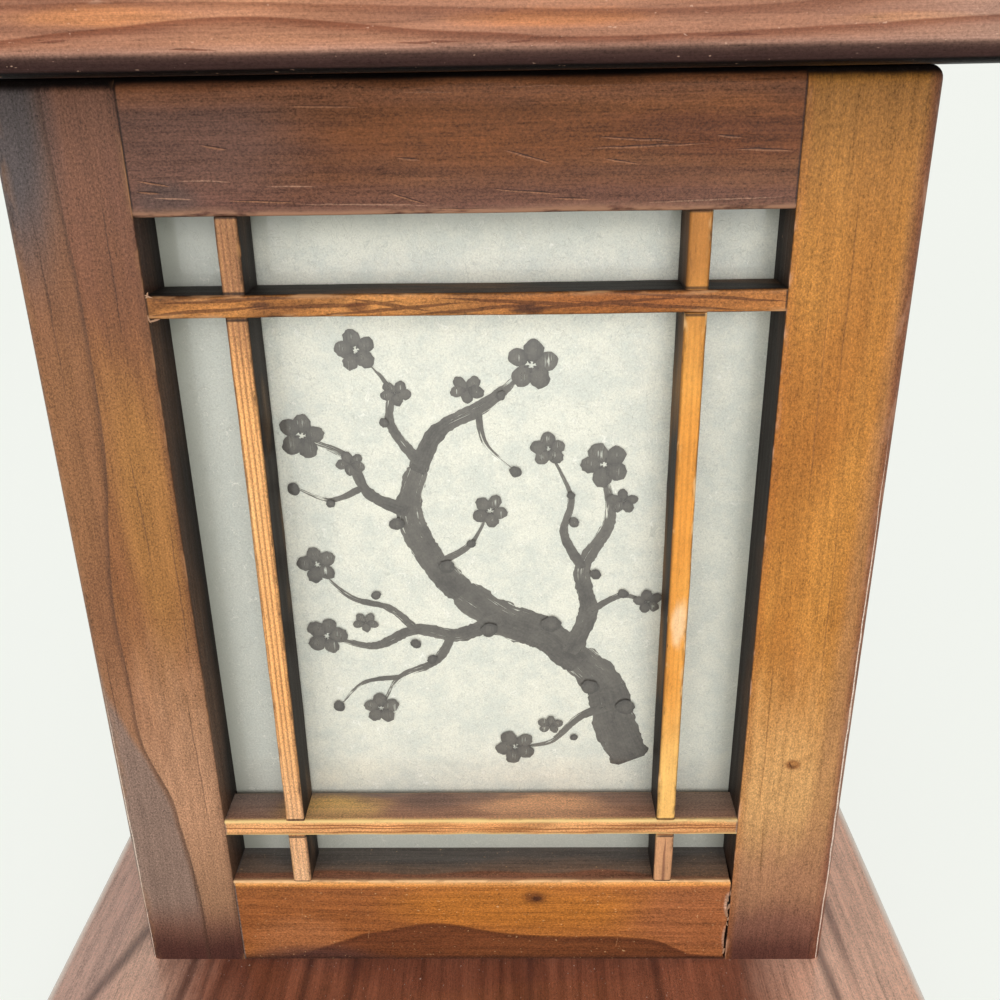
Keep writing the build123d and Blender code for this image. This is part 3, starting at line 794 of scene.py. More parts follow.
BAR_STRIPES = (
    (2.2, 32, 4.4, 74), (5.4, 60, 1.4, 82), (0.6, 50, 3.8, 92), (0.4, 76, 3.4, 116), (5, 84, 2, 130),
    (1.2, 102, 4.6, 152), (3.6, 118, 0.6, 166), (5.4, 134, 2.8, 178), (1, 4, 3.2, 38), (4.2, 8, 5.6, 50),
)
FRONT_UPPER_BAR = replace(
    BAR_WOOD, name="front_upper_bar_wood", light=(214, 146, 80), middle=(172, 108, 54), ring_depth=0.85,
    warp=5, ring_pitch=2.1, worn=(196, 146, 102), wear=0.4,
    marks=(
        Patch(0, (3, 128), (5, 46), (150, 84, 38), 0.7, 0.8),
        Checks(0, BAR_STRIPES, 0.65, (84, 46, 26), 0.7),
        Patch(0, (3.6, 36), (1.6, 5), (74, 42, 28), 0.8, 0.9),
        Patch(0, (2.8, 62), (2, 4), (92, 48, 26), 0.7, 0.9),
        Patch(0, (1.6, 108), (2, 7), (70, 38, 24), 0.85, 0.9),
    ),
)
LOWER_BAR_LINES = (
    (3.4, -40, 3, 120), (2.2, 60, 3.4, 240), (4.4, 20, 4, 96), (1.2, 8, 1.8, 88), (1.4, 96, 1, 180),
    (4.2, 120, 3.8, 190),
)
FRONT_LOWER_BAR = replace(
    BAR_WOOD, name="front_lower_bar_wood", light=(246, 182, 122), middle=(218, 150, 92), soot=(236, 222, 210),
    stain=(136, 112, 100), charring=2.2,
    over=(
        # Golden patches on the top face: the wood's colour, made lighter as painted light from above.
        Patch(1, (5, 112), (11, 30), (255, 190, 140), 0.95, 1.2),
        Patch(1, (5, 40), (11, 24), (255, 204, 122), 1, 1.2),
        Patch(1, (10, 74), (7, 13), (120, 96, 88), 0.85, 1.2),
        Band(2, 26, 18, (150, 130, 120), 0.8),
        Band(2, 140, 160, (150, 126, 110), 0.8),
    ),
    ring_depth=0.5, burnt_edges=0.1, rubbed=0.7,
    marks=(
        Band(1, 0.9, 2.2, (184, 124, 94), 0.9),
        Checks(0, LOWER_BAR_LINES, 0.45, (138, 76, 38), 0.8, core=0.2),
        Band(0, 1.9, 0.6, (176, 108, 66), 0.75),
    ),
    worn=(255, 220, 148), wear=0.95,
)
UPRIGHT_WOOD = replace(
    BAR_WOOD, name="upright_wood", light=(255, 208, 144), middle=(255, 186, 118), late=(114, 64, 40),
    cut=Cut.QUARTER, lean=0.012, ring_pitch=1.5, ring_depth=0.62, warp=0.6, wear=0.25, worn=(186, 134, 86),
    marks=(Band(2, 90, 5, (232, 184, 148), 0.6), Band(2, 176, 216, (140, 94, 68), 0.75)),
    joints=UPRIGHT_JOINTS,
)
FRONT_RIGHT_UPRIGHT = replace(
    UPRIGHT_WOOD, name="front_right_upright_wood", light=(246, 174, 84), middle=(234, 156, 68),
    late=(176, 108, 46), ring_depth=0.25, streak=0.4, speckle=0.7, burnt_edges=0.45, worn=(244, 196, 138),
    marks=(
        Band(2, 176, 216, (186, 122, 58), 0.95),
        Band(2, 90, 52, (250, 194, 112), 0.95),
        Patch(0, (3.4, 106), (3.4, 11), (250, 208, 160), 0.85, 2.4),
        Band(2, 33, 24, (208, 152, 112), 0.95),
        Checks(0, ((3, -6, 3.6, 24),), 0.9, (120, 76, 60), 0.7, core=0.1),
    ),
)
BASE_LINES = (
    (6, -20, 46, 110), (44, -80, 60, 380), (88, -80, 98, 380), (107, -80, 103, 380), (166, -80, 176, 380),
    (215, -80, 206, 380), (276, -60, 262, 320),
)
# The base board: its pale arris colour, laid all round the top rim, is a painted highlight.
BOARD_WOOD = WoodFinish(
    name="base_board_wood", light=(160, 100, 76), middle=(130, 76, 56), late=(84, 44, 33), stain=(46, 27, 23),
    worn=(250, 230, 216), cut=Cut.QUARTER, ring_pitch=7, ring_depth=0.5, lean=0.03, warp=4, streak=1,
    speckle=1.8, roughness=0.32, gloss=0.5, coat=1, wear=0.3, dust=0.45, fleck_size=0.55, rubbed=1,
    marks=(
        # Pale pink bands towards both ends: painted reflection of the bright surroundings.
        Band(0, 60, 30, (244, 194, 168), 0.9),
        Band(0, 238, 268, (248, 196, 168), 0.92),
        Band(0, 28, 14, (192, 152, 140), 0.6),
        Checks(0, BASE_LINES, 4.5, (84, 50, 42), 0.75, core=0),
        Patch(0, (281, 90), (3, 90), (138, 92, 78), 0.7, 0.9),
        Band(1, 18.6, 16.8, (156, 100, 78), 0.85),
    ),
)
ROOF_LINE = Trail(
    ((0, 6), (72, 6.4), (88, 7.9), (105, 9.2), (121, 10.3), (138, 9.9), (160, 7.9), (182, 6.6), (193, 5.9),
     (215, 6.1), (237, 6.8), (259, 7.7), (281, 8.8), (336, 9.6))
)
UPPER_ROOF_LINE = Trail(
    ((0, 12), (90, 13.4), (140, 12.6), (200, 10.8), (240, 11.6), (290, 14.6), (336, 16))
)
ROOF_SCRATCHES = (
    (5.2, 158, 5, 172), (4.9, 180, 5.1, 186), (5.4, 220, 5.6, 232), (4.6, 112, 4.5, 122), (6.2, 86, 6.4, 92),
)
# The roof board: its near-black staining on the lower rounding is painted shadow under the roof, with a
# purple-grey band of painted haze just above it.
ROOF_WOOD = replace(
    BOARD_WOOD, name="roof_board_wood", light=(198, 140, 106), middle=(170, 118, 92), late=(106, 64, 48),
    stain=(5, 3, 4), soot=(22, 15, 15), cut=Cut.FLAT, ring_pitch=5.2, ring_depth=0.6, lean=0.01, warp=5,
    streak=0.8, speckle=1.5, wear=0, dust=0.45, rubbed=0, worn=(226, 184, 158), gloss=0.05, stained_rough=0.1,
    coat=0.1, charring=0.1, over=(Band(1, 0.8, 1.4, (62, 42, 39), 0.95),),
    marks=(
        Patch(1, (11, 96), (3, 26), (210, 138, 84), 0.6, 1.2),
        Patch(1, (9.5, 190), (2.6, 30), (196, 122, 70), 0.6, 1.2),
        Patch(1, (8.4, 262), (1.6, 24), (196, 136, 92), 0.7, 1.2),
        # Pale grey band above the dark lower edge: painted reflection.
        Band(1, 6.4, 3.6, (186, 150, 136), 0.45),
        Band(2, 240, 300, (178, 140, 122), 0.8),
        GrowthLine(1, ROOF_LINE, 1, (118, 64, 42), 0.75),
        GrowthLine(1, UPPER_ROOF_LINE, 1, (116, 66, 44), 0.6),
        Checks(1, ROOF_SCRATCHES, 0.3, (110, 62, 46), 0.7),
    ),
)
FRONT_WOODS = (
    FRONT_LEFT_POST, FRONT_RIGHT_POST, FRONT_TOP_RAIL, FRONT_BOTTOM_RAIL, FRONT_UPPER_BAR, FRONT_LOWER_BAR,
    FRONT_RIGHT_UPRIGHT,
)
FRONT_FINISHES = {finish.name.removesuffix("_wood"): finish for finish in FRONT_WOODS}


# --- paper and ink


@dataclass(frozen=True)
class PaperFinish:
    """Long-fibred paper under a clear laminate."""

    name: str = "washi_paper"
    pulp: Colour = (240, 238, 222)
    cloud: Colour = (222, 224, 212)
    fibre: Colour = (252, 250, 238)
    shadow: Colour = (202, 203, 190)
    shade: Colour = (166, 167, 154)
    # Painted light: the sheet is paler in a backlit rectangle where light shows through from the back panel,
    # and greyer round it.
    hinge: Colour = (216, 218, 208)
    window: tuple[float, float, float, float] = (26.0, 180.0, 14.0, 300.0)
    pale_fibres: tuple[tuple[float, float, float], ...] = ((110, 0.012, 1), (190, 0.016, 6), (340, 0.022, 11))
    dark_fibres: tuple[tuple[float, float, float], ...] = ((150, 0.014, 15), (260, 0.02, 19))

    def material(self) -> bpy.types.Material:
        """Build the paper's material.

        Returns:
            A material that reads the panel's grain and tone attributes.
        """
        paint = Paint(bpy.data.materials.new(self.name))
        grain = paint.attribute("grain", "Vector")
        cloud = paint.noise(grain, (75, 75, 75), 5, 0.7)
        grit = paint.noise(grain, (1700, 1700, 1700), 3, 0.8, (4, 4, 4))
        colour = paint.mix(cloud.between(0.38, 0.64), self.pulp, self.cloud)
        # Painted backlight: greyer border round the paler backlit rectangle.
        colour = paint.mix(self.outside(paint) * 0.75, colour, self.hinge)
        pale = self.threads(grain, self.pale_fibres)
        dark = self.threads(grain, self.dark_fibres)
        colour = paint.mix(dark * 0.6, colour, self.shadow)
        colour = paint.mix(pale * 0.8, colour, self.fibre)
        colour = paint.tinted(colour, 1 - (grit - 0.5) * 0.8)
        # Painted shade near the frame.
        colour = paint.mix(paint.attribute("tone"), colour, self.shade)
        return paint.surface(
            Base_Color=colour,
            Roughness=0.4,
            Normal=paint.bump(pale * 0.5 + cloud * 0.8 + grit * 0.2, 0.1 * MM),
            Coat_Weight=1,
            Coat_Roughness=0.08,
        )

    def outside(self, paint: Paint) -> Wire:
        """Painted backlight: the border round the paler rectangle where light shows through from the back
        panel.

        Args:
            paint: The material's tree.

        Returns:
            1 in the border, 0 in the backlit rectangle.
        """
        across, _, along = paint.split(paint.attribute("own_place", "Vector"))
        left, right, low, high = (edge * MM for edge in self.window)
        inset = (across - left).smaller(right - across).smaller(along - low).smaller(high - along)
        return inset.between(0.6 * MM, -0.6 * MM)

    @staticmethod
    def threads(grain: Wire, kinds: Sequence[tuple[float, float, float]]) -> Wire:
        """Long fibres, as the contour lines of curled noise.

        Args:
            grain: Places on the sheet, in metres.
            kinds: Density, width and shift of each layer.

        Returns:
            The fibres' strength.
        """
        layers = []
        for scale, width, seed in kinds:
            curled = grain.paint.noise(grain, (scale,) * 3, 1, 0.4, (seed,) * 3, 1.6)
            patch = grain.paint.noise(grain, (scale * 1.1,) * 3, 1, 0.4, (seed * 3,) * 3).between(0.48, 0.6)
            layers.append(abs(curled - 0.5).between(width, 0) * patch)
        return reduce(Wire.larger, layers)


@dataclass(frozen=True)
class InkFinish:
    """Brushed ink, thinner and broken where the brush ran dry."""

    name: str = "brushed_ink"
    full: Colour = (78, 74, 70)
    thin: Colour = (128, 123, 114)

    def material(self) -> bpy.types.Material:
        """Build the ink's material.

        Returns:
            A material that reads the stroke's grain and tone attributes.
        """
        paint = Paint(bpy.data.materials.new(self.name))
        grain = paint.attribute("grain", "Vector")
        tone = paint.attribute("tone")
        pool = paint.noise(grain, (150, 150, 90), 3, 0.6)
        bristle = paint.noise(grain, (1900, 1900, 90), 2, 0.6, (2, 2, 2))
        grit = paint.noise(grain, (1400, 1400, 1400), 2, 0.6, (5, 5, 5))
        amount = tone + (pool - 0.5) * 1.3 + (bristle - 0.5) * 0.5 + (grit - 0.5) * 0.7
        return paint.surface(
            Base_Color=paint.mix(amount, self.full, self.thin),
            Roughness=0.4,
            Alpha=(bristle * 0.8 + pool * 0.4 + tone * 0.42).between(0.97, 0.86),
            Coat_Weight=1,
            Coat_Roughness=0.08,
        )


# --- plain finishes


@dataclass(frozen=True)
class PlainFinish:
    """A moulded, glazed, rubber or metal surface with a little dust and wear."""

    name: str
    colour: Colour
    worn: Colour
    roughness: float = 0.4
    metallic: float = 0.0
    coat: float = 0.0
    grain_scale: float = 400.0
    unevenness: float = 0.25

    def material(self) -> bpy.types.Material:
        """Build the surface's material.

        Returns:
            A material in the part's own coordinates.
        """
        paint = Paint(bpy.data.materials.new(self.name))
        place = paint.wire("TexCoord", output="Object")
        broad = paint.noise(place, (self.grain_scale * 0.2,) * 3, 3, 0.6)
        fine = paint.noise(place, (self.grain_scale * 4,) * 3, 2, 0.6)
        colour = paint.mix(broad.between(0.4, 0.75) * self.unevenness * 2, self.colour, self.worn)
        return paint.surface(
            Base_Color=paint.tinted(colour, 1 - (fine - 0.5) * self.unevenness * 0.4),
            Metallic=self.metallic,
            Roughness=(broad - 0.5) * self.unevenness + self.roughness,
            Normal=paint.bump(fine, 0.03 * MM, 0.6),
            Coat_Weight=self.coat,
            Coat_Roughness=0.08,
        )


PORCELAIN = PlainFinish("white_glaze", (232, 229, 220), (216, 211, 198), 0.22, coat=0.8)
BRASS = PlainFinish("plain_brass", (206, 168, 96), (164, 126, 66), 0.34, metallic=1)
NICKEL = PlainFinish("nickel_plate", (206, 204, 198), (168, 164, 156), 0.28, metallic=1)
STEEL = PlainFinish("zinc_plated_steel", (190, 184, 168), (146, 136, 116), 0.4, metallic=1)
SHELL_PLASTIC = PlainFinish("white_moulding", (232, 232, 228), (220, 219, 212), 0.42)
OPAL = PlainFinish("opal_globe", (240, 238, 230), (232, 229, 219), 0.3, coat=0.3)
BOARD_COAT = PlainFinish("led_board_coat", (226, 226, 220), (206, 206, 198), 0.45)
PHOSPHOR = PlainFinish("led_phosphor", (232, 202, 92), (220, 186, 70), 0.4)
RUBBER = PlainFinish("black_rubber", (36, 35, 34), (58, 56, 53), 0.7)
DARK_BATTEN = PlainFinish("dark_batten", (74, 46, 36), (54, 36, 29), 0.55)
TORN_FIBRE = PlainFinish("torn_fibre", (176, 136, 106), (128, 86, 62), 0.7)


# --- meshes

SideTones = tuple[Pair, Pair]
Placer = Callable[[float, float, float], Vector]


@dataclass(frozen=True)
class Corner:
    """A corner of a section, with its rounding and how worn its arris is."""

    u: float
    v: float
    round: float = 0.0
    wear: float = 1.0


@dataclass(frozen=True)
class Point:
    """A point of a section's outline with its wear and the tone of its face."""

    u: float
    v: float
    wear: float
    tone: float


@dataclass(frozen=True)
class Section:
    """A stick's cross-section: corners in order, and the tones where the face after each starts and ends."""

    corners: tuple[Corner, ...]
    tones: tuple[Pair, ...]
    arc_steps: int = 4
    margin: float = 1.2 * MM

    def outline(self, rounding: float = 1) -> list[Point]:
        """Round each corner, with support points beside it.

        Args:
            rounding: Factor on every corner's rounding.

        Returns:
            The outline's points, always as many for one section.
        """
        points: list[Point] = []
        for index in range(len(self.corners)):
            points += self.corner_points(index, rounding)
        return points

    def corner_points(self, index: int, rounding: float) -> list[Point]:
        """The points round one corner.

        Args:
            index: The corner's number.
            rounding: Factor on its rounding.

        Returns:
            A support point, an arc and a support point.
        """
        before, corner = self.corners[index - 1], self.corners[index]
        after = self.corners[(index + 1) % len(self.corners)]
        first, last = self.tones[index - 1][1], self.tones[index][0]
        here = Vector((corner.u, corner.v))
        back = Vector((before.u, before.v)) - here
        ahead = Vector((after.u, after.v)) - here
        shortest = min(back.length, ahead.length)
        if shortest < 1e-6 or abs(back.normalized().cross(ahead.normalized())) < 1e-4:
            return [Point(corner.u, corner.v, 0, first)] * (self.arc_steps + 3)
        radius = min(corner.round * rounding, 0.45 * back.length, 0.45 * ahead.length)
        pad = min(self.margin, 0.25 * back.length, 0.25 * ahead.length)
        start = here + back.normalized() * radius
        end = here + ahead.normalized() * radius
        centre = start + end - here
        points = [Point(*(start + back.normalized() * pad), 0, first)]
        for step in range(self.arc_steps + 1):
            share = step / self.arc_steps
            turn = share * pi / 2
            spot = centre - (end - here) * cos(turn) - (start - here) * sin(turn)
            wear = corner.wear * (0.35 + 0.65 * sin(share * pi))
            points.append(Point(*spot, wear, first + (last - first) * share))
        points.append(Point(*(end + ahead.normalized() * pad), 0, last))
        return points


@dataclass(frozen=True)
class Spot:
    """A vertex in the making: its place on the front side and its paint values."""

    place: Vector
    arris: float = 0.0
    tone: float = 0.0


class Quarter(Enum):
    """The four sides of the body, by their quarter turns from the front."""

    FRONT = 0
    RIGHT = 1
    BACK = 2
    LEFT = 3

    @property
    def label(self) -> str:
        """The side's name in the frame's nodes."""
        return self.name.lower()

    def turn(self) -> Matrix:
        """The turn that takes the front side here."""
        return Matrix.Rotation(self.value * pi / 2, 4, "Z")


class GrainRun(Enum):
    """Which axes of the front side run across, behind and along a piece's grain."""

    UPRIGHT = (0, 1, 2)
    SIDEWAYS = (2, 1, 0)
    DEPTHWAYS = (0, 2, 1)
    LYING = (1, 2, 0)


@dataclass
class Loft:
    """Rings of points joined into a closed mesh; its seed moves its grain and its unevenness."""

    name: str
    run: GrainRun
    quarter: Quarter = Quarter.FRONT
    seed: int = 0
    rings: list[list[Spot]] = field(default_factory=list)

    def add(self, ring: Iterable[Spot]) -> None:
        """Add the next ring."""
        self.rings.append(list(ring))

    def unevenness(self, place: Vector, pitch: float) -> float:
        """Hand-made unevenness at a place: smooth, from -1 to 1."""
        return noise.noise(place / pitch + Vector((self.seed * 7.3, self.seed * 3.1, 0.7)))

    def build(self) -> Piece:
        """Make the mesh object, with its paint attributes.

        Returns:
            The object, in the lamp's frame.
        """
        mesh = bmesh.new()
        layers = mesh.verts.layers
        arris, tone = layers.float.new("arris"), layers.float.new("tone")
        grain, own = layers.float_vector.new("grain"), layers.float_vector.new("own_place")
        turn = self.quarter.turn()
        corner = [min(spot.place[axis] for ring in self.rings for spot in ring) for axis in self.run.value]
        shift = Vector((self.seed * 0.137, self.seed * 0.071, self.seed * 0.213))
        rows = []
        for ring in self.rings:
            rows.append([mesh.verts.new(turn @ spot.place) for spot in ring])
            for spot, vertex in zip(ring, rows[-1]):
                local = Vector(spot.place[axis] for axis in self.run.value)
                vertex[grain] = local + shift
                vertex[own] = local - Vector(corner)
                vertex[arris] = spot.arris
                vertex[tone] = spot.tone
        for low, high in zip(rows, rows[1:]):
            bridge(mesh, low, high)
        mesh.faces.new(list(reversed(rows[0])))
        mesh.faces.new(rows[-1])
        bmesh.ops.remove_doubles(mesh, verts=mesh.verts, dist=1e-7)
        bmesh.ops.dissolve_degenerate(mesh, dist=1e-7, edges=mesh.edges)
        return finished_mesh(self.name, mesh)


def bridge(
    mesh: bmesh.types.BMesh, low: Sequence[Any], high: Sequence[Any], closed: bool = True
) -> None:
    """Join two rows of vertices with faces; a row of one vertex is a pole.

    Args:
        mesh: The bmesh.
        low: One row.
        high: The next.
        closed: Whether the rows are rings.
    """
    count = max(len(low), len(high))
    for index in range(count if closed else count - 1):
        after = (index + 1) % count
        loop = [low[index % len(low)], low[after % len(low)], high[after % len(high)], high[index % len(high)]]
        corners = list(dict.fromkeys(loop))
        if len(corners) > 2:
            mesh.faces.new(corners)


def finished_mesh(name: str, mesh: bmesh.types.BMesh, solid: bool = True) -> Piece:
    """Turn a bmesh into a smooth-shaded object with sharp arrises.

    Args:
        name: The object's name.
        mesh: The bmesh, which is freed.
        solid: Whether its faces are turned outwards first.

    Returns:
        The linked object.
    """
    if solid:
        bmesh.ops.recalc_face_normals(mesh, faces=mesh.faces)
    data = bpy.data.meshes.new(name)
    mesh.to_mesh(data)
    mesh.free()
    for face in data.polygons:
        face.use_smooth = True
    data.set_sharp_from_angle(angle=radians(SHARP_DEGREES))
    made = bpy.data.objects.new(name, data)
    bpy.context.scene.collection.objects.link(made)
    return made


def stations(start: float, end: float, pitch: float, steps: Sequence[float] = ()) -> list[float]:
    """Places for rings along a stick, with exact stops at its steps.

    Args:
        start: Where the stick starts.
        end: Where it ends.
        pitch: The widest gap between rings.
        steps: Places that need a ring.

    Returns:
        The places in order.
    """
    stops = sorted({start, end, *(s for s in steps if start < s < end)})
    places: list[float] = []
    for low, high in zip(stops, stops[1:]):
        count = max(1, ceil((high - low) / pitch))
        places += [low + (high - low) * index / count for index in range(count)]
    return places + [end]


def turned_solid(name: str, foot: float, profile: Sequence[Pair], steps: int = 72) -> Piece:
    """A solid of revolution about the lamp's own axis.

    Args:
        name: The object's name.
        foot: The height from which the profile's heights are measured.
        profile: Radius and height of each point; a radius of 0 closes an end.
        steps: Facets round the axis.

    Returns:
        The object.
    """
    mesh = bmesh.new()
    turns = [tau * step / steps for step in range(steps)]
    rows = []
    for radius, height in profile:
        ring = [(radius * cos(a), radius * sin(a)) for a in (turns if radius > 1e-7 else (0,))]
        rows.append([mesh.verts.new(Vector((0, 0, foot)) + Vector((x, y, height))) for x, y in ring])
    for low, high in zip(rows, rows[1:]):
        bridge(mesh, low, high)
    if len(rows[0]) > 1 and len(rows[-1]) > 1:
        bridge(mesh, rows[-1], rows[0])
    return finished_mesh(name, mesh)


def clamped(value: float) -> float:
    """Keep a value between 0 and 1."""
    return max(0, min(1, value))


def dress(piece: Piece, finish: bpy.types.Material, body: str, slot: str, *nodes: str) -> Piece:
    """Give a piece its material and its body, and hide the nodes that it stands for.

    Args:
        piece: The piece.
        finish: Its material.
        body: The body that carries it.
        slot: A material slot's name; not used.
        nodes: The CAD nodes that it replaces.

    Returns:
        The piece.
    """
    piece.data.materials.clear()
    piece.data.materials.append(finish)
    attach(piece, body)
    if nodes:
        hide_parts(*nodes)
    return piece


# --- the body's sizes


@dataclass(frozen=True)
class BodySizes:
    """The lantern body's sizes, read from the frame."""

    half: float
    bottom: float
    top: float
    post: float
    opening_low: float
    opening_high: float
    rail_depth: float
    panel_front: float
    rebate: float
    stick: float
    stick_depth: float
    lower_bar: float
    upper_bar: float
    upright: float
    frame_round: float = 3.5 * MM
    tenon_thickness: float = 9.0 * MM
    tenon_setback: float = 6.5 * MM
    tenon_shoulder: float = 6.0 * MM

    @classmethod
    def from_frame(cls) -> "BodySizes":
        """Measure the frame's own nodes.

        Returns:
            The sizes, in metres.
        """
        post_low, post_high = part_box("front_left_post")
        sill_low, sill_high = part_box("front_bottom_rail")
        lower_low, lower_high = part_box("front_lower_bar")
        upper_low, upper_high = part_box("front_upper_bar")
        right_low, right_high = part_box("front_right_upright")
        return cls(
            half=-post_low.y,
            bottom=post_low.z,
            top=post_high.z,
            post=post_high.x - post_low.x,
            opening_low=sill_high.z,
            opening_high=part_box("front_top_rail")[0].z,
            rail_depth=sill_high.y - sill_low.y,
            panel_front=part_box("front_paper_panel")[0].y - post_low.y,
            rebate=sill_high.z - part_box("front_panel_battens")[0].z,
            stick=lower_high.z - lower_low.z,
            stick_depth=lower_high.y - lower_low.y,
            lower_bar=(lower_low.z + lower_high.z) / 2,
            upper_bar=(upper_low.z + upper_high.z) / 2,
            upright=(right_low.x + right_high.x) / 2,
        )

    @property
    def inner(self) -> float:
        """From the middle of a side to its posts' inner faces."""
        return self.half - self.post


# --- posts and rails


@dataclass
class Posts:
    """The four corner posts, rounded outside, rebated for the panels inside."""

    sizes: BodySizes
    ring_pitch: float = 7.0 * MM
    inner_round: float = 0.35 * MM
    wobble: float = 0.08 * MM
    names: tuple[str, ...] = ("front_left_post", "front_right_post", "back_right_post", "back_left_post")

    def build(self) -> Iterator[Piece]:
        """Make and dress all four.

        Yields:
            Each piece.
        """
        for quarter, name in zip(Quarter, self.names):
            finish = FRONT_FINISHES.get(name, POST_WOOD)
            yield dress(self.post(name, quarter), finish.material(), LAMP_BODY, "post_wood", name)

    def section(self, rebate: float) -> Section:
        """The post's section with its rebates cut to a width.

        Args:
            rebate: The width, 0 for the solid ends.

        Returns:
            The section at the front left corner, by x and depth.
        """
        s = self.sizes
        low, high = -s.half, -s.inner
        seat = s.panel_front
        corners = (
            Corner(low, 0, s.frame_round, 0.3),
            Corner(high, 0, self.inner_round, 0.8),
            Corner(high, seat, 0, 0),
            Corner(high - rebate, seat, 0, 0),
            Corner(high - rebate, s.post - rebate, 0, 0),
            Corner(low + seat, s.post - rebate, 0, 0),
            Corner(low + seat, s.post, 0, 0),
            Corner(low, s.post, self.inner_round, 0.8),
        )
        # Front and outer faces take no tone; the inner faces and rebates take full tone, which the wood paints
        # as dark staining and painted shade.
        light, dark = (0, 0), (1, 1)
        return Section(corners, (light, (0.55, 1), dark, dark, dark, dark, (1, 0.9), light))

    def post(self, name: str, quarter: Quarter) -> Piece:
        """One post.

        Args:
            name: The node that it replaces.
            quarter: Its corner, as turns from the front left.

        Returns:
            The post's object.
        """
        s = self.sizes
        loft = Loft(f"{name}_wood", GrainRun.UPRIGHT, quarter, quarter.value)
        low, high = s.opening_low - s.rebate, s.opening_high + s.rebate
        arc = [s.top - s.frame_round * (1 - sin(pi / 2 * k / 6)) for k in range(6)]
        for z in stations(s.bottom, s.top, self.ring_pitch, (low, high, *arc)):
            for rebate in self.widths(z, low, high):
                loft.add(self.ring(loft, z, rebate))
        return loft.build()

    def widths(self, z: float, low: float, high: float) -> tuple[float, ...]:
        """The rebate's width at a height.

        Args:
            z: The height.
            low: Where the rebate starts.
            high: Where it ends.

        Returns:
            The width, or both widths where it changes.
        """
        full = self.sizes.rebate
        if abs(z - low) < 1e-7:
            return 0, full
        if abs(z - high) < 1e-7:
            return full, 0
        return (full,) if low < z < high else (0,)

    def ring(self, loft: Loft, z: float, rebate: float) -> Iterator[Spot]:
        """One ring of a post.

        Args:
            loft: The post's loft.
            z: Its height.
            rebate: The rebate's width there.

        Yields:
            The ring's spots.
        """
        s = self.sizes
        rise = max(0, z - (s.top - s.frame_round))
        shrunk = sqrt(max(0, s.frame_round**2 - rise**2))
        inset = s.frame_round - shrunk
        for point in self.section(rebate).outline():
            u, v = point.u, point.v
            if inset > 0:
                scale = shrunk / s.frame_round
                corner_u, corner_v = -s.half + s.frame_round, s.frame_round
                if u < corner_u and v < corner_v:
                    u = corner_u + (u - corner_u) * scale
                    v = corner_v + (v - corner_v) * scale
                else:
                    u = max(u, -s.half + inset)
                    v = max(v, inset)
            wobble = abs(loft.unevenness(Vector((u, v, z)), 0.05)) * self.wobble
            place = Vector((max(u, -s.half + wobble), max(v, wobble) - s.half, z))
            # The top rounding takes full tone: painted shadow under the roof.
            top = rise / s.frame_round if v < 2 * MM or u < -s.half + 2 * MM else 0
            worn = point.wear * (1 - top) if z < s.top - 0.5 * MM else 0
            yield Spot(place, worn, max(point.tone, top))


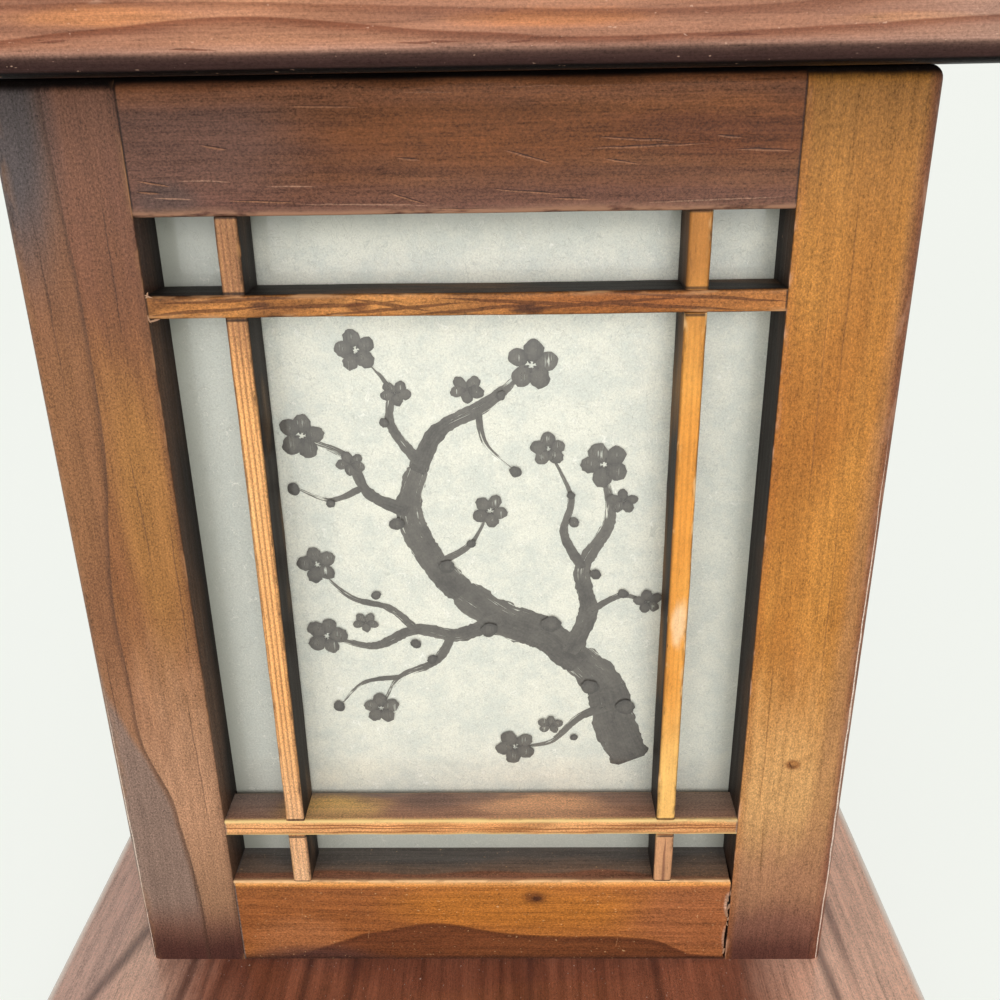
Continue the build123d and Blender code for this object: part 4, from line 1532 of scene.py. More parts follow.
@dataclass
class Rails:
    """The top and bottom rails, tenoned between the posts."""

    sizes: BodySizes
    ring_pitch: float = 9.0 * MM
    tenon_reach: float = 17.0 * MM
    lower_arris: float = 1.6 * MM
    upper_arris: float = 0.8 * MM
    back_round: float = 0.4 * MM
    set_back: float = 0.12 * MM
    unevenness: float = 0.1 * MM
    open_joint: float = 1.0 * MM
    open_rail: str = "front_bottom_rail"

    def build(self) -> Iterator[Piece]:
        """Make and dress all eight.

        Yields:
            Each piece.
        """
        for quarter in Quarter:
            for top, level, shared in ((True, "top", TOP_RAIL_WOOD), (False, "bottom", BOTTOM_RAIL_WOOD)):
                name = f"{quarter.label}_{level}_rail"
                finish = FRONT_FINISHES.get(name, shared)
                yield dress(self.rail(name, top, quarter), finish.material(), LAMP_BODY, "rail_wood", name)

    def section(self, top: bool) -> Section:
        """A rail's section, by height and depth.

        Args:
            top: Whether it is a top rail.

        Returns:
            The section.
        """
        s = self.sizes
        if top:
            outer, edge, seat = s.top, s.opening_high, s.opening_high + s.rebate
            # The top face under the roof takes full tone: painted shadow.
            outer_round, edge_round, face, sill = s.frame_round, self.lower_arris, (1, 1), (1, 0.55)
        else:
            outer, edge, seat = s.bottom, s.opening_low, s.opening_low - s.rebate
            outer_round, edge_round, face, sill = self.back_round, self.upper_arris, (0.3, 1), (1, 0.75)
        corners = (
            Corner(edge, 0, edge_round),
            Corner(outer, 0, outer_round, 0),
            Corner(outer, s.rail_depth, self.back_round, 0),
            Corner(seat, s.rail_depth, 0, 0),
            Corner(seat, s.panel_front, 0, 0),
            Corner(edge, s.panel_front, 0, 0),
        )
        # The front takes no tone; the other faces take tone, which the wood paints as dark staining and
        # painted shade.
        return Section(corners, ((0, 0), face, (1, 1), (1, 1), (1, 1), sill))

    def tenon(self, top: bool) -> Section:
        """The tenon's section, with as many corners as the rail's.

        Args:
            top: Whether it is a top rail's.

        Returns:
            The section.
        """
        s = self.sizes
        low, high = (s.opening_high, s.top) if top else (s.bottom, s.opening_low)
        low, high = low + s.tenon_shoulder, high - s.tenon_shoulder
        near, far = s.tenon_setback, s.tenon_setback + s.tenon_thickness
        edge, outer = (low, high) if top else (high, low)
        spots = ((edge, near), (outer, near), (outer, far), (edge, far), (edge, far), (edge, far))
        return Section(tuple(Corner(u, v) for u, v in spots), ((0, 0),) * 6)

    def rail(self, name: str, top: bool, quarter: Quarter) -> Piece:
        """One rail.

        Args:
            name: The node that it replaces.
            top: Whether it is a top rail.
            quarter: Its side.

        Returns:
            The rail's object.
        """
        s = self.sizes
        loft = Loft(f"{name}_wood", GrainRun.SIDEWAYS, quarter, quarter.value + (10 if top else 20))
        body, tenon = self.section(top), self.tenon(top)
        reach = s.inner + self.tenon_reach
        for x in (-reach, -s.inner):
            loft.add(Spot(Vector((x, p.v - s.half, p.u))) for p in tenon.outline())
        gap = self.open_joint if name == self.open_rail else 0
        for x in stations(-s.inner, s.inner, self.ring_pitch, (s.inner - 2 * MM,)):
            rounding = 1 + 0.35 * loft.unevenness(Vector((x, 0, 0)), 0.02)
            ring = []
            for point in body.outline(rounding):
                lift = loft.unevenness(Vector((x, point.v, point.u)), 0.04) * self.unevenness
                near = point.v < s.tenon_setback - 1 * MM
                pull = gap * (0.7 + 0.4 * sin(point.u * 900)) if near and x > s.inner - 0.1 * MM else 0
                sunk = max(point.v, self.set_back + abs(lift))
                ring.append(Spot(Vector((x - pull, sunk - s.half, point.u)), point.wear, point.tone))
            loft.add(ring)
        for x in (s.inner, reach):
            loft.add(Spot(Vector((x, p.v - s.half, p.u))) for p in tenon.outline())
        return loft.build()


# --- lattice


@dataclass
class Lattice:
    """The thin sticks before each panel, half-lapped where they cross."""

    sizes: BodySizes
    ring_pitch: float = 4.0 * MM
    stub_reach: float = 5.0 * MM
    stub_thickness: float = 3.6 * MM
    stub_depth: float = 8.0 * MM
    round: float = 0.8 * MM
    back_round: float = 0.3 * MM
    sway: float = 0.16 * MM
    nick: float = 0.09 * MM
    runs: tuple[GrainRun, GrainRun] = (GrainRun.UPRIGHT, GrainRun.SIDEWAYS)

    def build(self) -> Iterator[Piece]:
        """Make and dress the four sticks of every side.

        Yields:
            Each piece.
        """
        s = self.sizes
        sticks = (
            ("lower_bar", True, s.lower_bar, 30),
            ("upper_bar", True, s.upper_bar, 34),
            ("left_upright", False, -s.upright, 50),
            ("right_upright", False, s.upright, 54),
        )
        for quarter in Quarter:
            for label, lying, place, seed in sticks:
                name = f"{quarter.label}_{label}"
                loft = Loft(f"{name}_wood", self.runs[lying], quarter, quarter.value + seed)
                finish = FRONT_FINISHES.get(name, BAR_WOOD if lying else UPRIGHT_WOOD)
                piece = self.stick(loft, lying, place)
                yield dress(piece, finish.material(), LAMP_BODY, "stick_wood", name)

    def section(self, front: float, back: float, tones: SideTones) -> Section:
        """A stick's section about its middle line.

        Args:
            front: Depth of its front face.
            back: Depth of its back face.
            tones: Tones of the sides below and above the front face, from front to back.

        Returns:
            The section.
        """
        half = self.sizes.stick / 2
        corners = (
            Corner(-half, front, self.round),
            Corner(half, front, self.round),
            Corner(half, back, self.back_round, 0.2),
            Corner(-half, back, self.back_round, 0.2),
        )
        low, high = tones
        return Section(corners, ((0, 0), high, (1, 1), low[::-1]), 3, 0.7 * MM)

    def stub(self) -> Section:
        """The stub tenon's section.

        Returns:
            The section, with as many points as a stick's.
        """
        half = self.stub_thickness / 2
        middle = self.sizes.stick_depth / 2
        near, far = middle - self.stub_depth / 2, middle + self.stub_depth / 2
        spots = ((-half, near), (half, near), (half, far), (-half, far))
        return Section(tuple(Corner(u, v) for u, v in spots), ((0, 0),) * 4, 3)

    def stick(self, loft: Loft, lying: bool, place: float) -> Piece:
        """Fill a loft with one stick's rings, stubs and laps.

        Args:
            loft: The stick's loft.
            lying: Whether it lies and laps over the uprights, or stands, notched in front for the bars.
            place: The height or the place across the side of its middle line.

        Returns:
            The stick's object.
        """
        s = self.sizes
        # The sticks' sides take tone, which the wood paints as dark staining and painted shade.
        if lying:
            start, end, laps = -s.inner, s.inner, (-s.upright, s.upright)
            tones = ((0.9, 1), (0.3, 0.95) if "lower" in loft.name else (0.95, 1))
        else:
            start, end, laps = s.opening_low, s.opening_high, (s.lower_bar, s.upper_bar)
            tones = ((0.85, 1), (0.85, 1))

        def spot(u: float, v: float, w: float) -> Vector:
            """Put a point across, behind and along the stick in its place."""
            return Vector((w, v - s.half, place + u) if lying else (place + u, v - s.half, w))

        stub = self.stub()
        half = s.stick / 2
        edges = [lap + side * half for lap in laps for side in (-1, 1)]
        for w in (start - self.stub_reach, start):
            loft.add(Spot(spot(p.u, p.v, w)) for p in stub.outline())
        for w in stations(start, end, self.ring_pitch, edges):
            inside = any(abs(w - lap) < half - 1e-7 for lap in laps)
            at_edge = any(abs(w - edge) < 1e-7 for edge in edges)
            rising = any(abs(w - (lap - half)) < 1e-7 for lap in laps)
            states = ((False, True) if rising else (True, False)) if at_edge else (inside,)
            for lapped in states:
                front = s.stick_depth / 2 if lapped and not lying else 0
                back = s.stick_depth / 2 if lapped and lying else s.stick_depth
                rounding = 1 + 0.55 * loft.unevenness(Vector((0, 0, w)), 0.012)
                points = self.section(front, back, tones).outline(rounding)
                loft.add(self.uneven(loft, points, w, lapped, spot))
        for w in (end, end + self.stub_reach):
            loft.add(Spot(spot(p.u, p.v, w)) for p in stub.outline())
        return loft.build()

    def uneven(
        self, loft: Loft, points: Sequence[Point], w: float, lapped: bool, spot: Placer
    ) -> Iterator[Spot]:
        """One ring with a hand-planed stick's small unevenness.

        Args:
            loft: The stick's loft.
            points: The section's points.
            w: The ring's place along the stick.
            lapped: Whether it lies in a lap, which stays true.
            spot: Puts a point in its place.

        Yields:
            The ring's spots.
        """
        sway = loft.unevenness(Vector((0.3, 0, w)), 0.045) * self.sway
        for point in points:
            nick = loft.unevenness(Vector((point.u * 4, point.v, w)), 0.009) * self.nick
            nick = 0 if lapped else nick
            place = spot(point.u + sway + nick, point.v + abs(nick), w)
            yield Spot(place, point.wear, point.tone)


# --- paper panels


@dataclass
class PaperPanels:
    """The stiff paper sheets behind the lattices."""

    sizes: BodySizes
    cells: int = 48
    margin_shade: float = 16.0 * MM
    margin_depths: tuple[float, float, float, float] = (0.9, 0.4, 0.0, 0.95)
    corner_depth: float = 0.6
    foot_depth: float = 0.45
    buckle: float = 0.15 * MM
    held: float = 20.0 * MM

    def build(self) -> Iterator[Piece]:
        """Make and dress all four.

        Yields:
            Each piece.
        """
        finish = PaperFinish().material()
        for quarter in Quarter:
            name = f"{quarter.label}_paper_panel"
            yield dress(self.panel(name, quarter), finish, LAMP_BODY, "washi", name)

    def panel(self, name: str, quarter: Quarter) -> Piece:
        """One sheet, a little buckled inside its rebates.

        Args:
            name: The node that it replaces.
            quarter: Its side.

        Returns:
            The sheet's object.
        """
        s = self.sizes
        low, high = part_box("front_paper_panel")
        loft = Loft(f"{name}_sheet", GrainRun.UPRIGHT, quarter, quarter.value + 70)
        for row in range(self.cells + 1):
            z = low.z + (high.z - low.z) * row / self.cells
            front, back = [], []
            for column in range(self.cells + 1):
                x = low.x + (high.x - low.x) * column / self.cells
                free = clamped(min(s.inner - abs(x), z - s.opening_low, s.opening_high - z) / self.held)
                wave = (1 + loft.unevenness(Vector((x, 0, z)), 0.06)) / 2 * self.buckle * free
                front.append(Spot(Vector((x, low.y + wave, z)), 0, self.shade(x, z)))
                back.append(Spot(Vector((x, high.y, z))))
            loft.add(front + back[::-1])
        return loft.build()

    def shade(self, x: float, z: float) -> float:
        """Painted shade on the paper near the frame, darkest at its upper left and under the lower bar.

        Args:
            x: Place across the front.
            z: Height.

        Returns:
            The paper's tone, from 0 to 1.
        """
        s = self.sizes
        edges = (s.inner + x, s.inner - x, z - s.opening_low, s.opening_high - z)
        margins = (
            depth * (1 - clamped(edge / self.margin_shade)) ** 2
            for edge, depth in zip(edges, self.margin_depths)
        )
        corner = self.corner_depth * max(0, 1 - hypot(edges[0], edges[3]) / (3 * self.margin_shade))
        foot = self.foot_depth * clamped((s.lower_bar - z) / (6 * MM))
        return min(1, max(margins) + corner + foot)


# --- ink drawing


@dataclass(frozen=True)
class Stroke:
    """One brush stroke: x from the middle and height over the body's foot in millimetres, and its widths."""

    path: tuple[Pair, ...]
    widths: tuple[float, ...]
    dry: float = 0.2


@dataclass(frozen=True)
class Blossom:
    """A plum flower: its middle and its reach in millimetres, and the turn of its petals."""

    middle: Pair
    reach: float
    turn: float = 0.0
    squash: float = 1.0


STROKES = (
    Stroke(((52, 74), (46, 88), (42, 104), (32, 116)), (13, 14, 12, 12.5), 0.25),
    Stroke(((34, 113), (22, 124), (8, 130), (-6, 141)), (13, 11.5, 12, 9.5), 0.3),
    Stroke(((-4, 139), (-14, 152), (-20, 168), (-16, 184)), (9.5, 8.4, 7.6, 5.6), 0.35),
    Stroke(((-17, 181), (-10, 194), (4, 202), (16, 212)), (5.6, 4.6, 3.8, 1.6), 0.4),
    Stroke(((30, 117), (36, 132), (34, 148), (42, 164), (40, 180)), (6.6, 5.4, 4.6, 3.4, 1.4), 0.35),
    Stroke(((34, 148), (28, 160), (30, 172), (24, 186)), (3, 2.4, 1.8, 0.7), 0.45),
    Stroke(((8, 130), (-6, 124), (-20, 126), (-34, 120), (-48, 124)), (5.6, 4.6, 3.6, 2.6, 1), 0.35),
    Stroke(((-20, 126), (-28, 134), (-40, 138), (-50, 148)), (2.8, 2.2, 1.6, 0.6), 0.45),
    Stroke(((-8, 124), (-14, 114), (-26, 108), (-32, 98)), (3.2, 2.6, 1.8, 0.6), 0.45),
    Stroke(((-26, 108), (-38, 106), (-46, 98)), (1.8, 1.3, 0.5), 0.5),
    Stroke(((-20, 168), (-32, 174), (-38, 186), (-50, 192)), (4.2, 3.2, 2.2, 0.8), 0.4),
    Stroke(((-34, 176), (-44, 172), (-54, 176)), (2, 1.4, 0.5), 0.5),
    Stroke(((-16, 184), (-24, 196), (-24, 208), (-32, 218)), (3.4, 2.6, 1.8, 0.6), 0.45),
    Stroke(((2, 201), (4, 190), (12, 182)), (2.2, 1.5, 0.5), 0.5),
    Stroke(((36, 132), (46, 138), (54, 136)), (2.6, 1.8, 0.6), 0.45),
    Stroke(((44, 96), (34, 92), (24, 82), (12, 80)), (3.4, 2.6, 1.8, 0.7), 0.45),
    Stroke(((-12, 150), (-2, 156), (4, 166)), (2.6, 1.8, 0.6), 0.5),
)
BLOSSOMS = (
    Blossom((18, 214), 7.4, 0.2),
    Blossom((-1, 207), 5.2, 0.9, 0.7),
    Blossom((-33, 219), 6.2, 0.5),
    Blossom((-22, 206), 4.6, 1, 0.75),
    Blossom((-51, 193), 7, 0.1),
    Blossom((-37, 184), 4.6, 0.8, 0.7),
    Blossom((40, 183), 7.2, 0.7),
    Blossom((46, 171), 5, 0.3, 0.7),
    Blossom((23, 188), 5.4, 0.4),
    Blossom((5, 168), 5.6, 1.1),
    Blossom((-50, 150), 6.4, 0.6),
    Blossom((-49, 124), 6.8, 0),
    Blossom((-36, 129), 4.4, 0.9, 0.7),
    Blossom((-33, 96), 6, 0.3),
    Blossom((12, 80), 6.8, 0.8),
    Blossom((24, 89), 4.4, 0.2, 0.7),
    Blossom((55, 136), 4.8, 0.5, 0.8),
)
BUDS = (
    (13, 181, 2), (-55, 176, 2.2), (-47, 97, 2.2), (-26, 197, 1.6), (31, 164, 1.8), (30, 173, 1.4),
    (-32, 139, 1.7), (-15, 115, 1.8), (9, 205, 1.5), (-44, 171, 1.5), (47, 139, 1.8), (-1, 157, 1.5),
    (49, 96, 3.2), (37, 104, 3), (24, 128, 3.4), (4, 126, 2.8), (-9, 149, 2.6), (-24, 164, 2.4),
    (38, 146, 2), (-20, 121, 1.9), (32, 84, 1.4),
)


@dataclass
class InkDrawing:
    """An old plum branch in ink on the front panel: its trunk, twigs, flowers, and buds by their radius."""

    sizes: BodySizes
    lift: float = 0.03 * MM
    layer: float = 0.003 * MM
    step: float = 0.8
    bristles: tuple[float, ...] = (-1.0, -0.6, -0.2, 0.2, 0.6, 1.0)
    rim_points: int = 20
    touches: int = 0
    mesh: bmesh.types.BMesh = field(default_factory=bmesh.new)
    chance: random.Random = field(default_factory=lambda: random.Random(12))

    def build(self) -> Iterator[Piece]:
        """Draw everything as one piece.

        Yields:
            Each piece.
        """
        for name, kind in (("tone", "float"), ("grain", "float_vector")):
            getattr(self.mesh.verts.layers, kind).new(name)
        for stroke in STROKES:
            self.brush(stroke)
        for blossom in BLOSSOMS:
            self.flower(blossom)
        for x, z, radius in BUDS:
            self.blot((x, z), (radius, radius * 0.86), self.chance.uniform(0, pi), 0.1)
        piece = finished_mesh("front_ink_drawing", self.mesh, solid=False)
        yield dress(piece, InkFinish().material(), LAMP_BODY, "washi")

    def vertex(self, x: float, z: float, tone: float, grain: Pair) -> bmesh.types.BMVert:
        """A vertex on the paper.

        Args:
            x: Millimetres from the middle.
            z: Millimetres over the body's foot.
            tone: How thin the ink is, from 0 to 1.
            grain: Millimetres across and along the brush's way.

        Returns:
            The vertex.
        """
        s = self.sizes
        layers = self.mesh.verts.layers
        depth = -s.half + s.panel_front - self.lift - self.layer * self.touches
        made = self.mesh.verts.new((x * MM, depth, s.bottom + z * MM))
        made[layers.float["tone"]] = tone
        made[layers.float_vector["grain"]] = Vector((grain[0], self.touches * 9, grain[1])) * MM
        return made

    def brush(self, stroke: Stroke) -> None:
        """Lay one stroke: a ribbon along a smooth path, with ragged edges.

        Args:
            stroke: The stroke.
        """
        self.touches += 1
        path = smooth_path([Vector(p) for p in stroke.path], stroke.widths, self.step)
        rows = []
        for index, (spot, width) in enumerate(path):
            ahead = path[min(index + 1, len(path) - 1)][0] - path[max(index - 1, 0)][0]
            side = Vector((-ahead.y, ahead.x)).normalized()
            share = index / (len(path) - 1)
            half = width / 2 * min(1, 0.72 + 4 * share, 0.5 + 6 * (1 - share))
            swell = 1 + 0.22 * noise.noise(Vector((index * 0.21, self.touches * 3.3, 0)))
            row = []
            for place in self.bristles:
                rag = self.chance.uniform(-0.5, 0.3) * min(1, half * 0.4) if abs(place) == 1 else 0
                reach = place * half * swell + copysign(rag, place)
                at = spot + side * reach
                dry = stroke.dry * (0.5 + share) + 0.12 * abs(place) + self.chance.uniform(-0.05, 0.05)
                row.append(self.vertex(at.x, at.y, dry, (reach, index * self.step)))
            rows.append(row)
        for low, high in zip(rows, rows[1:]):
            bridge(self.mesh, low, high, closed=False)

    def flower(self, blossom: Blossom) -> None:
        """Five petals, each one press of the brush, and a few stamens.

        Args:
            blossom: The flower.
        """
        x, z = blossom.middle
        for petal in range(5):
            angle = blossom.turn + petal * tau / 5 + self.chance.uniform(-0.12, 0.12)
            reach = blossom.reach * self.chance.uniform(0.55, 0.62)
            middle = (x + reach * cos(angle), z + reach * sin(angle) * blossom.squash)
            size = blossom.reach * self.chance.uniform(0.36, 0.43)
            self.blot(middle, (size * 1.12, size * (0.6 + 0.4 * blossom.squash)), angle, 0.35)
        for stamen in range(5):
            angle = blossom.turn + (stamen + 0.5) * tau / 5
            reach = blossom.reach * 0.2
            middle = (x + reach * cos(angle), z + reach * sin(angle) * blossom.squash)
            self.blot(middle, (blossom.reach * 0.12, blossom.reach * 0.05), angle, 0)

    def blot(self, middle: Pair, radii: Pair, angle: float, tone: float) -> None:
        """An oval press of the brush with an uneven rim.

        Args:
            middle: Its middle, in millimetres.
            radii: Its reach along and across its own angle.
            angle: How it is turned.
            tone: How thin the ink is.
        """
        self.touches += 1
        centre = self.vertex(*middle, tone + 0.3, (0, 0))
        turn = Matrix.Rotation(angle, 2)
        rim = []
        for index in range(self.rim_points):
            way = tau * index / self.rim_points
            uneven = self.chance.uniform(0.9, 1.07)
            arm = turn @ Vector((radii[0] * cos(way) * uneven, radii[1] * sin(way) * uneven))
            rim.append(self.vertex(middle[0] + arm.x, middle[1] + arm.y, tone - 0.1, (arm.x, arm.y)))
        bridge(self.mesh, rim, [centre])


def smooth_path(points: Sequence[Vector], widths: Sequence[float], step: float) -> list[tuple[Vector, float]]:
    """A smooth curve through points, with widths between them.

    Args:
        points: The points it passes.
        widths: The width at each.
        step: The spacing of the result.

    Returns:
        Places and widths along the curve.
    """
    result: list[tuple[Vector, float]] = []
    count = len(points)
    for index in range(count - 1):
        before = points[max(index - 1, 0)]
        start, end = points[index], points[index + 1]
        after = points[min(index + 2, count - 1)]
        pieces = max(2, round((end - start).length / step))
        for piece in range(pieces):
            t = piece / pieces
            spot = 0.5 * (
                2 * start
                + (end - before) * t
                + (2 * before - 5 * start + 4 * end - after) * t**2
                + (3 * start - before - 3 * end + after) * t**3
            )
            result.append((spot, widths[index] + (widths[index + 1] - widths[index]) * t))
    result.append((points[-1], widths[-1]))
    return result


# --- torn fibres and old glue


@dataclass(frozen=True)
class Shred:
    """A torn sliver: its middle across and up from a joint, its length, width and lean in degrees."""

    x: float
    z: float
    length: float
    width: float
    lean: float


JOINT_SLIVERS = (
    Shred(0.2, 31, 3.4, 0.7, 82), Shred(-1, 28, 3.8, 0.8, 104), Shred(-0.2, 24.4, 3.4, 1.2, 70),
    Shred(-0.9, 21.2, 3.2, 1, 100), Shred(0.1, 19, 2.6, 1.1, 62), Shred(-0.6, 16.6, 2.4, 0.8, 112),
    Shred(0.3, 12.4, 3.4, 0.5, 88), Shred(-1, 8, 5, 0.6, 93), Shred(-0.7, 3.6, 3.2, 0.7, 84),
)
BAR_END_GLUE = (
    Shred(0.3, 2.6, 3.6, 0.5, 70), Shred(-0.6, 0.4, 4.4, 0.5, 96), Shred(-0.2, -2.6, 3.4, 0.8, 118),
    Shred(1.6, -3.4, 3, 0.6, 12), Shred(0.9, 3.1, 2.6, 0.5, 160),
)


@dataclass
class TornJoints:
    """Slivers and crumbs of glue where front joints have opened."""

    sizes: BodySizes
    seed: int = 5
    thickness: float = 0.25 * MM
    corners: int = 10

    def build(self) -> Iterator[Piece]:
        """Make and dress both groups.

        Yields:
            Each piece.
        """
        s = self.sizes
        right = (s.inner / MM, 0)
        left = (-s.inner / MM, (s.upper_bar - s.bottom) / MM)
        slivers = self.group("open_joint_slivers", right, JOINT_SLIVERS)
        yield dress(slivers, TORN_FIBRE.material(), LAMP_BODY, "rail_wood")
        glue = self.group("bar_end_glue", left, BAR_END_GLUE)
        yield dress(glue, TORN_FIBRE.material(), LAMP_BODY, "stick_wood")

    def group(self, name: str, joint: Pair, shreds: Sequence[Shred]) -> Piece:
        """Slivers as flat, ragged prisms against the front.

        Args:
            name: The piece's name.
            joint: The joint's place across and up the front, in millimetres.
            shreds: The slivers.

        Returns:
            The piece.
        """
        chance = random.Random(self.seed)
        mesh = bmesh.new()
        for shred in shreds:
            turn = Matrix.Rotation(radians(shred.lean), 2)
            outline = []
            for index in range(self.corners):
                way = tau * index / self.corners
                ragged = chance.uniform(0.7, 1.15)
                arm = Vector((cos(way) * shred.length / 2, sin(way) * shred.width / 2)) * ragged
                spot = turn @ arm
                outline.append((joint[0] + shred.x + spot.x, joint[1] + shred.z + spot.y))
            front = -self.sizes.half + chance.uniform(0.02, 0.25) * MM
            near, far = (
                [mesh.verts.new((x * MM, depth, self.sizes.bottom + z * MM)) for x, z in outline]
                for depth in (front, front + self.thickness)
            )
            mesh.faces.new(near)
            mesh.faces.new(far[::-1])
            bridge(mesh, near, far)
        return finished_mesh(name, mesh)


# --- boards


@dataclass
class Board:
    """A square board with round corners and rounded edges."""

    node: str
    run: GrainRun
    under_round: float
    top_round: float
    seed: int
    corner_round: float = 8.0 * MM
    side_points: int = 40
    corner_points: int = 8
    edge_steps: int = 6
    flat_inset: float = 14.0 * MM
    unevenness: float = 0.2 * MM

    def outline(self, half: float, inset: float) -> list[Vector]:
        """The board's outline, drawn in by an inset.

        Args:
            half: Half its width.
            inset: How far it is drawn in.

        Returns:
            Its points in order.
        """
        radius = max(self.corner_round - inset, 0.5 * MM)
        straight = half - inset - radius
        points = []
        for quarter in range(4):
            turn = Matrix.Rotation(quarter * pi / 2, 2)
            for index in range(self.side_points):
                share = index / self.side_points
                points.append(turn @ Vector((half - inset, straight * (2 * share - 1))))
            for index in range(self.corner_points):
                angle = pi / 2 * index / self.corner_points
                spot = Vector((straight + radius * cos(angle), straight + radius * sin(angle)))
                points.append(turn @ spot)
        return points

    def build(self) -> Piece:
        """Make the board.

        Returns:
            The board's object, not yet dressed.
        """
        low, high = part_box(self.node)
        loft = Loft(f"{self.node}_wood", self.run, Quarter.FRONT, self.seed)
        middle = (low.z + high.z) / 2
        rings = [(self.flat_inset, low.z, 0, 1), *self.rim(low.z, 1), (0, middle, 0, 0)]
        rings += [*self.rim(high.z, -1), (self.flat_inset, high.z, 0, 0)]
        for inset, z, wear, tone in rings:
            ring = []
            for spot in self.outline(high.x, inset):
                place = Vector((spot.x, spot.y, z))
                drift = abs(loft.unevenness(place, 0.05)) * self.unevenness
                place.x -= copysign(drift, place.x)
                place.y -= copysign(drift, place.y)
                ring.append(Spot(place, wear, tone))
            loft.add(ring)
        return loft.build()

    def rim(self, face: float, sign: int) -> list[tuple[float, float, float, float]]:
        """The rounded rim beside one face, from low to high.

        Args:
            face: The face's height.
            sign: 1 for the lower face, -1 for the upper.

        Returns:
            Inset, height, wear and tone of each ring.
        """
        radius = self.under_round if sign > 0 else self.top_round
        rings = []
        for step in range(self.edge_steps + 1):
            angle = pi / 2 * step / self.edge_steps
            inset = radius * (1 - sin(angle))
            height = face + sign * radius * (1 - cos(angle))
            # The lower rounding takes tone, painted shadow under the board; the upper rounding's arris value
            # peaks half way round, a painted highlight line along the base's rim.
            tone = min(1, 1.1 * max(0, cos(angle)) ** 0.35) if sign > 0 else 0
            rings.append((inset, height, sin(2 * angle) if sign < 0 else 0, tone))
        return rings if sign > 0 else rings[::-1]


@dataclass
class Boards:
    """The base and the roof."""

    base: Board = field(
        default_factory=lambda: Board("base_board", GrainRun.DEPTHWAYS, 1.5 * MM, 4 * MM, 3)
    )
    roof: Board = field(default_factory=lambda: Board("roof_board", GrainRun.LYING, 4.5 * MM, 7.0 * MM, 4))

    def build(self) -> Iterator[Piece]:
        """Make and dress both."""
        yield dress(self.base.build(), BOARD_WOOD.material(), LAMP_BODY, "board_wood", "base_board")
        yield dress(self.roof.build(), ROOF_WOOD.material(), ROOF_BODY, "board_wood", "roof_board")


# --- lamp holder and bulb


